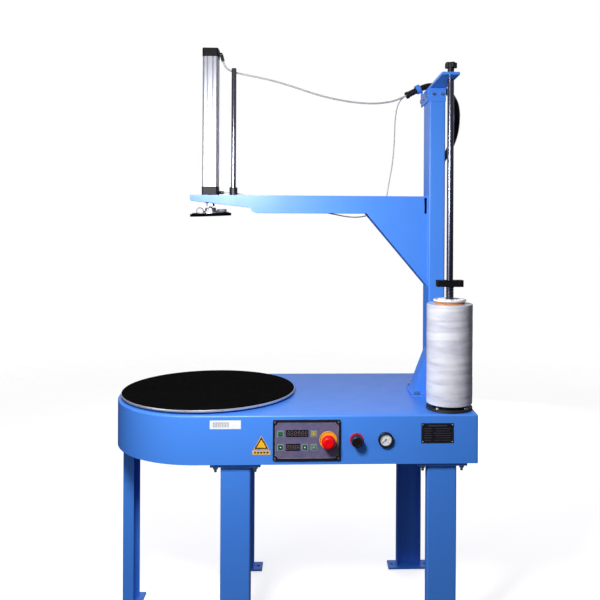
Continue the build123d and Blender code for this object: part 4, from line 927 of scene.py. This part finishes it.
# Every key is a soft cap in a pale printed square, with a small raised mark.
SQUARE = 0.019
SQUARE_LINE = 0.0026
KEY_FACE = -0.2945
KEYS = {
    "start_key": (0.246, -0.053, "bar", (26, 84, 52), (20, 112, 60)),
    "stop_key": (0.343, -0.053, "dot", (150, 138, 58), (196, 184, 96)),
    "down_key": (0.246, -0.092, "dot", (18, 72, 56), (206, 226, 216)),
    "up_key": (0.317, -0.092, "dot", (18, 72, 56), (206, 226, 216)),
    "set_key": (0.343, -0.092, "bar", (86, 116, 104), (132, 160, 140)),
}
squares = []
for name, (key_x, key_z, mark, cap_tint, mark_tint) in KEYS.items():
    dress(moulded(name + "_cap", cap_tint, roughness=0.45, grain=0.0008), name)
    square = bmesh.new()
    bmesh.ops.create_grid(square, x_segments=1, y_segments=1, size=0.5)
    bmesh.ops.scale(square, vec=(SQUARE, SQUARE, 1), verts=square.verts)
    bmesh.ops.bevel(square, geom=square.verts[:], offset=0.002, offset_type="OFFSET", segments=4,
                    profile=0.5, affect="VERTICES", material=-1)
    line = bmesh.ops.inset_region(square, faces=square.faces[:], thickness=SQUARE_LINE,
                                  use_even_offset=True, use_boundary=True)
    middle = [face for face in square.faces if face not in line["faces"]]
    bmesh.ops.delete(square, geom=middle, context="FACES")
    thicken(square, 0.00025)
    squares.append(put(square, facing(key_x, OVERLAY - 0.0003, key_z)))
    if mark == "dot":
        glyph = rod(0.0021, 0.0003, sides=20)
    else:
        glyph = block((0.0062, 0.0040, 0.0003), 0.0001, 1)
    tint = moulded(name + "_mark", mark_tint, roughness=0.5)
    piece(name + "_mark", put(glyph, facing(key_x, KEY_FACE - 0.00002, key_z)), name, tint)
pale_print = moulded("pale_print", (122, 140, 142), roughness=0.5)
piece("key_squares", join(*squares), "frame", pale_print, "box_grey")

# ---------------------------------------------------------------- stop button
# A 40 mm mushroom button on a yellow collar. Its moulded head is slightly dished in the middle, and
# the collar carries a ring of plain dark marks.
STOP = (0.385, -0.072)
STOP_BACK = -0.3085
STOP_DEEP = 0.0205
STEM_LONG = 0.036
COLLAR_MARKS = 9
stop_red = moulded("stop_red", (222, 4, 12), roughness=0.32, grain=0.0014, depth=0.00002,
                   Specular_IOR_Level=0.35)
head = turned([
    (0.0050, 0), (0.0150, 0), (0.0182, 0.0004), (0.0195, 0.0014), (0.0200, 0.0035), (0.0198, 0.0085),
    (0.0190, 0.0135), (0.0172, 0.0172), (0.0145, 0.0195), (0.0110, STOP_DEEP), (0.0070, 0.0202),
    (0.0035, 0.0200), (0, 0.0199),
], steps=72)
stem = rod(0.0050, STEM_LONG, sides=28)
head = join(head, put(stem, Matrix.Translation((0, 0, -STEM_LONG))))
piece("stop_head", put(head, facing(STOP[0], STOP_BACK, STOP[1])), "stop_button", stop_red, "stop_red",
      ["stop_button"])
stop_yellow = moulded("stop_yellow", (240, 150, 24), roughness=0.4)
dress(stop_yellow, "stop_collar")
mark_black = moulded("mark_black", (30, 26, 20), roughness=0.5)
dash = block((0.0034, 0.0014, 0.0002))
dashes = []
for number in range(COLLAR_MARKS):
    around = Matrix.Rotation(radians(75 + 14 * number), 4, "Z") @ Matrix.Translation((0.0232, 0, 0))
    dashes.append(facing(STOP[0], -0.29499, STOP[1]) @ around @ Matrix.Rotation(pi / 2, 4, "Z"))
piece("collar_marks", put(dash, *dashes), "frame", mark_black)

# ---------------------------------------------------------------- regulator
# The pressure regulator behind the front sheet is held by a red ring nut; its black knob has
# moulded flutes for the fingers and a domed face.
REGULATOR = (0.468, -0.072)
KNOB_DEEP = 0.026
KNOB_STEM = 0.022
FLUTES = 18
FLUTE_DEEP = 0.0007
ring_red = moulded("ring_red", (190, 34, 66), roughness=0.38)
nut = turned([
    (0.0160, 0), (0.0202, 0), (0.0202, 0.0026), (0.0194, 0.0034), (0.0176, 0.0036), (0.0160, 0.0036),
    (0.0160, 0),
], steps=64)
nut_place = facing(REGULATOR[0], FRONT + 0.0001, REGULATOR[1])
piece("regulator_ring", put(nut, nut_place), "frame", ring_red, "stop_red")
knob = turned([
    (0.0040, -0.0002), (0.0160, 0), (0.0165, 0.0010), (0.0163, 0.0070), (0.0161, 0.0130), (0.0159, 0.0190),
    (0.0156, 0.0228), (0.0148, 0.0248), (0.0132, 0.0258), (0.0110, KNOB_DEEP), (0.0104, 0.0254),
    (0.0040, 0.0250), (0, 0.0250),
], steps=144)
for vertex in knob.verts:
    across = Vector((vertex.co.x, vertex.co.y, 0))
    if across.length > 0.0154 and vertex.co.z > 0.002:
        angle = across.to_2d().angle_signed(Vector((1, 0)), 0)
        groove = max(0.0, cos(angle * FLUTES)) ** 2
        vertex.co -= across.normalized() * FLUTE_DEEP * groove
grip = join(knob, put(rod(0.0040, KNOB_STEM, sides=24), Matrix.Translation((0, 0, -KNOB_STEM))))
knob_black = moulded("knob_black", (16, 16, 18), roughness=0.34)
grip_place = facing(REGULATOR[0], FRONT - 0.0036, REGULATOR[1])
piece("regulator_grip", put(grip, grip_place), "regulator_knob", knob_black, "black_plastic",
      ["regulator_knob"], sharp=28)

# ---------------------------------------------------------------- gauge
# A 40 mm pressure gauge: printed white dial with ticks and numbers, a black needle and a clear
# window sprung into the bezel.
GAUGE = (0.553, -0.072)
DIAL = -0.293
DIAL_RADIUS = 0.0170
TICK_RADIUS = 0.0152
NUMBER_RADIUS = 0.0103
SWEEP = 270
TICKS = 50
PRINT_PLACE = facing(GAUGE[0], DIAL - 0.0002, GAUGE[1])
dial_white = moulded("dial_white", (246, 246, 250), roughness=0.5)
dial = turned([(0, 0.0002), (DIAL_RADIUS - 0.0001, 0.0002), (DIAL_RADIUS - 0.0001, 0), (0, 0)], steps=64)
piece("gauge_dial", put(dial, facing(GAUGE[0], DIAL, GAUGE[1])), "frame", dial_white, "white_plastic")
print_black = moulded("dial_print", (26, 24, 34), roughness=0.6)
ticks = []
for number in range(TICKS + 1):
    long_one = number % 10 == 0
    length = 0.0024 if long_one else (0.0017 if number % 5 == 0 else 0.0010)
    tick = block((length, 0.00042 if long_one else 0.00022, 0.0001))
    around = Matrix.Rotation(radians(225 - SWEEP * number / TICKS), 4, "Z")
    outward = Matrix.Translation((TICK_RADIUS - length / 2, 0, 0))
    ticks.append(put(tick, PRINT_PLACE @ around @ outward))
for number in range(0, 11, 2):
    text = bpy.data.curves.new("number", "FONT")
    text.body = str(number)
    text.size = 0.0042
    text.align_x = "CENTER"
    text.align_y = "CENTER"
    text.extrude = 0.00004
    flat = bpy.data.objects.new("number", text)
    bpy.context.scene.collection.objects.link(flat)
    bpy.context.view_layer.update()
    figure = bmesh.new()
    figure.from_mesh(bpy.data.meshes.new_from_object(flat))
    bpy.data.objects.remove(flat)
    angle = radians(225 - SWEEP * number / 10)
    spot = Matrix.Translation((NUMBER_RADIUS * cos(angle), NUMBER_RADIUS * sin(angle), 0.00006))
    ticks.append(put(figure, PRINT_PLACE @ spot))
piece("gauge_print", join(*ticks), "frame", print_black)
dress(moulded("needle_black", (24, 18, 40), roughness=0.4), "gauge_needle")
clear_window, point = start_finish("gauge_window")
wiped = point.noise(0.01)
set_surface(clear_window, Base_Color=(0.9, 0.95, 1, 1), Roughness=wiped * 0.04 + 0.02, Alpha=0.1)
lens = turned([
    (0, 0.0013), (0.0090, 0.0011), (0.0150, 0.0006), (0.0171, 0.0003), (0.0171, 0), (0, 0.0005),
], steps=64)
piece("gauge_lens", put(lens, facing(GAUGE[0], -0.2972, GAUGE[1])), "frame", clear_window)

# ---------------------------------------------------------------- labels
# Plain stand-ins for the plates on the front: a black rating plate with rows of silver bars on two
# rivets, a white stock label with grey bars, and a yellow triangle with a strip below it.
plate_black = moulded("plate_black", (22, 22, 30), roughness=0.35)
silver_print = metal("silver_print", (150, 152, 160), 0.4)
PLATE_LEFT, PLATE_RIGHT = 0.658, 0.754
PLATE_TOP, PLATE_BOTTOM = -0.025, -0.084
plate_x = (PLATE_LEFT + PLATE_RIGHT) / 2
plate_z = (PLATE_TOP + PLATE_BOTTOM) / 2
plate_wide = PLATE_RIGHT - PLATE_LEFT
plate_high = PLATE_TOP - PLATE_BOTTOM
PLATE_THICK = 0.0008
LABEL_THICK = 0.0003
PRINT_ROWS = 6
plate = block((plate_wide, plate_high, PLATE_THICK), 0.0003, 1)
piece("rating_plate", put(plate, facing(plate_x, FRONT, plate_z)), "frame", plate_black)
bars = []


def bar_on(centre_x, centre_z, wide, high, proud):
    bars.append(put(block((wide, high, 0.00012)), facing(centre_x, FRONT - proud, centre_z)))


for row in range(PRINT_ROWS):
    row_z = PLATE_TOP - 0.016 - row * 0.0068
    bar_on(plate_x - 0.029, row_z, 0.024 - 0.003 * (row % 3), 0.0022, PLATE_THICK)
    bar_on(plate_x + 0.016, row_z, 0.052 - 0.006 * ((row + 1) % 3), 0.0018, PLATE_THICK)
bar_on(plate_x, PLATE_TOP - 0.0075, 0.056, 0.0038, PLATE_THICK)
for z in (PLATE_TOP - 0.0022, PLATE_BOTTOM + 0.0022):
    bar_on(plate_x, z, plate_wide - 0.006, 0.0005, PLATE_THICK)
for x in (PLATE_LEFT + 0.0030, PLATE_RIGHT - 0.0030):
    bar_on(x, plate_z, 0.0005, plate_high - 0.005, PLATE_THICK)
piece("rating_plate_print", join(*bars), "frame", silver_print)
rivet = turned([(0.0016, 0), (0.0016, 0.0003), (0.0011, 0.0008), (0, 0.0010)], steps=16)
rivet_places = [facing(x, FRONT - PLATE_THICK * 0.9, z) for x in (PLATE_LEFT + 0.0045, PLATE_RIGHT - 0.0045)
                for z in (PLATE_TOP - 0.0045, PLATE_BOTTOM + 0.0045)]
piece("plate_rivets", put(rivet, *rivet_places), "frame", edging)

label_white = moulded("label_white", (230, 232, 236), roughness=0.45)
LABEL_X, LABEL_Z = 0.086, -0.0265
STRIPES = 22
STRIPE_WIDTHS = (0.0010, 0.0018, 0.0007, 0.0014)
STRIPE_GAPS = (0.0009, 0.0006, 0.0013)
label = block((0.090, 0.025, LABEL_THICK), 0.0001, 1)
piece("stock_label", put(label, facing(LABEL_X, FRONT, LABEL_Z)), "frame", label_white)
bars = []
stripe_x = LABEL_X - 0.036
for number in range(STRIPES):
    width = STRIPE_WIDTHS[number % len(STRIPE_WIDTHS)]
    bar_on(stripe_x + width / 2, LABEL_Z, width, 0.0150, LABEL_THICK)
    stripe_x += width + STRIPE_GAPS[number % len(STRIPE_GAPS)]
piece("stock_label_bars", join(*bars), "frame", moulded("label_grey", (150, 150, 156), roughness=0.6))

TRIANGLE_X, TRIANGLE_Z = 0.1905, -0.0855
STRIP_Z = TRIANGLE_Z - 0.0225
label_yellow = moulded("label_yellow", (240, 178, 40), roughness=0.4)


def triangle(radius, thick, rounding):
    """A three-cornered plate with round corners, point up."""
    shape = bmesh.new()
    bmesh.ops.create_circle(shape, cap_ends=True, segments=3, radius=radius)
    bmesh.ops.bevel(shape, geom=shape.verts[:], offset=rounding, offset_type="OFFSET", segments=5,
                    profile=0.5, affect="VERTICES", material=-1)
    thicken(shape, thick)
    return shape


for name, radius, proud, thick, tint in (
    ("triangle_edge", 0.0265, 0, 0.0003, label_yellow),
    ("triangle_border", 0.0235, 0.0003, 0.0001, mark_black),
    ("triangle_field", 0.0165, 0.0004, 0.0001, label_yellow),
):
    shape = triangle(radius, thick, radius * 0.12)
    piece(name, put(shape, facing(TRIANGLE_X, FRONT - proud, TRIANGLE_Z)), "frame", tint)
strip_label = block((0.052, 0.012, LABEL_THICK), 0.0001, 1)
piece("warning_strip", put(strip_label, facing(TRIANGLE_X, FRONT, STRIP_Z)), "frame", label_yellow)
bars = []
for number in range(5):
    bar_on(TRIANGLE_X - 0.018 + number * 0.009, STRIP_Z, 0.0062, 0.0046, LABEL_THICK)
piece("warning_strip_bars", join(*bars), "frame", mark_black)
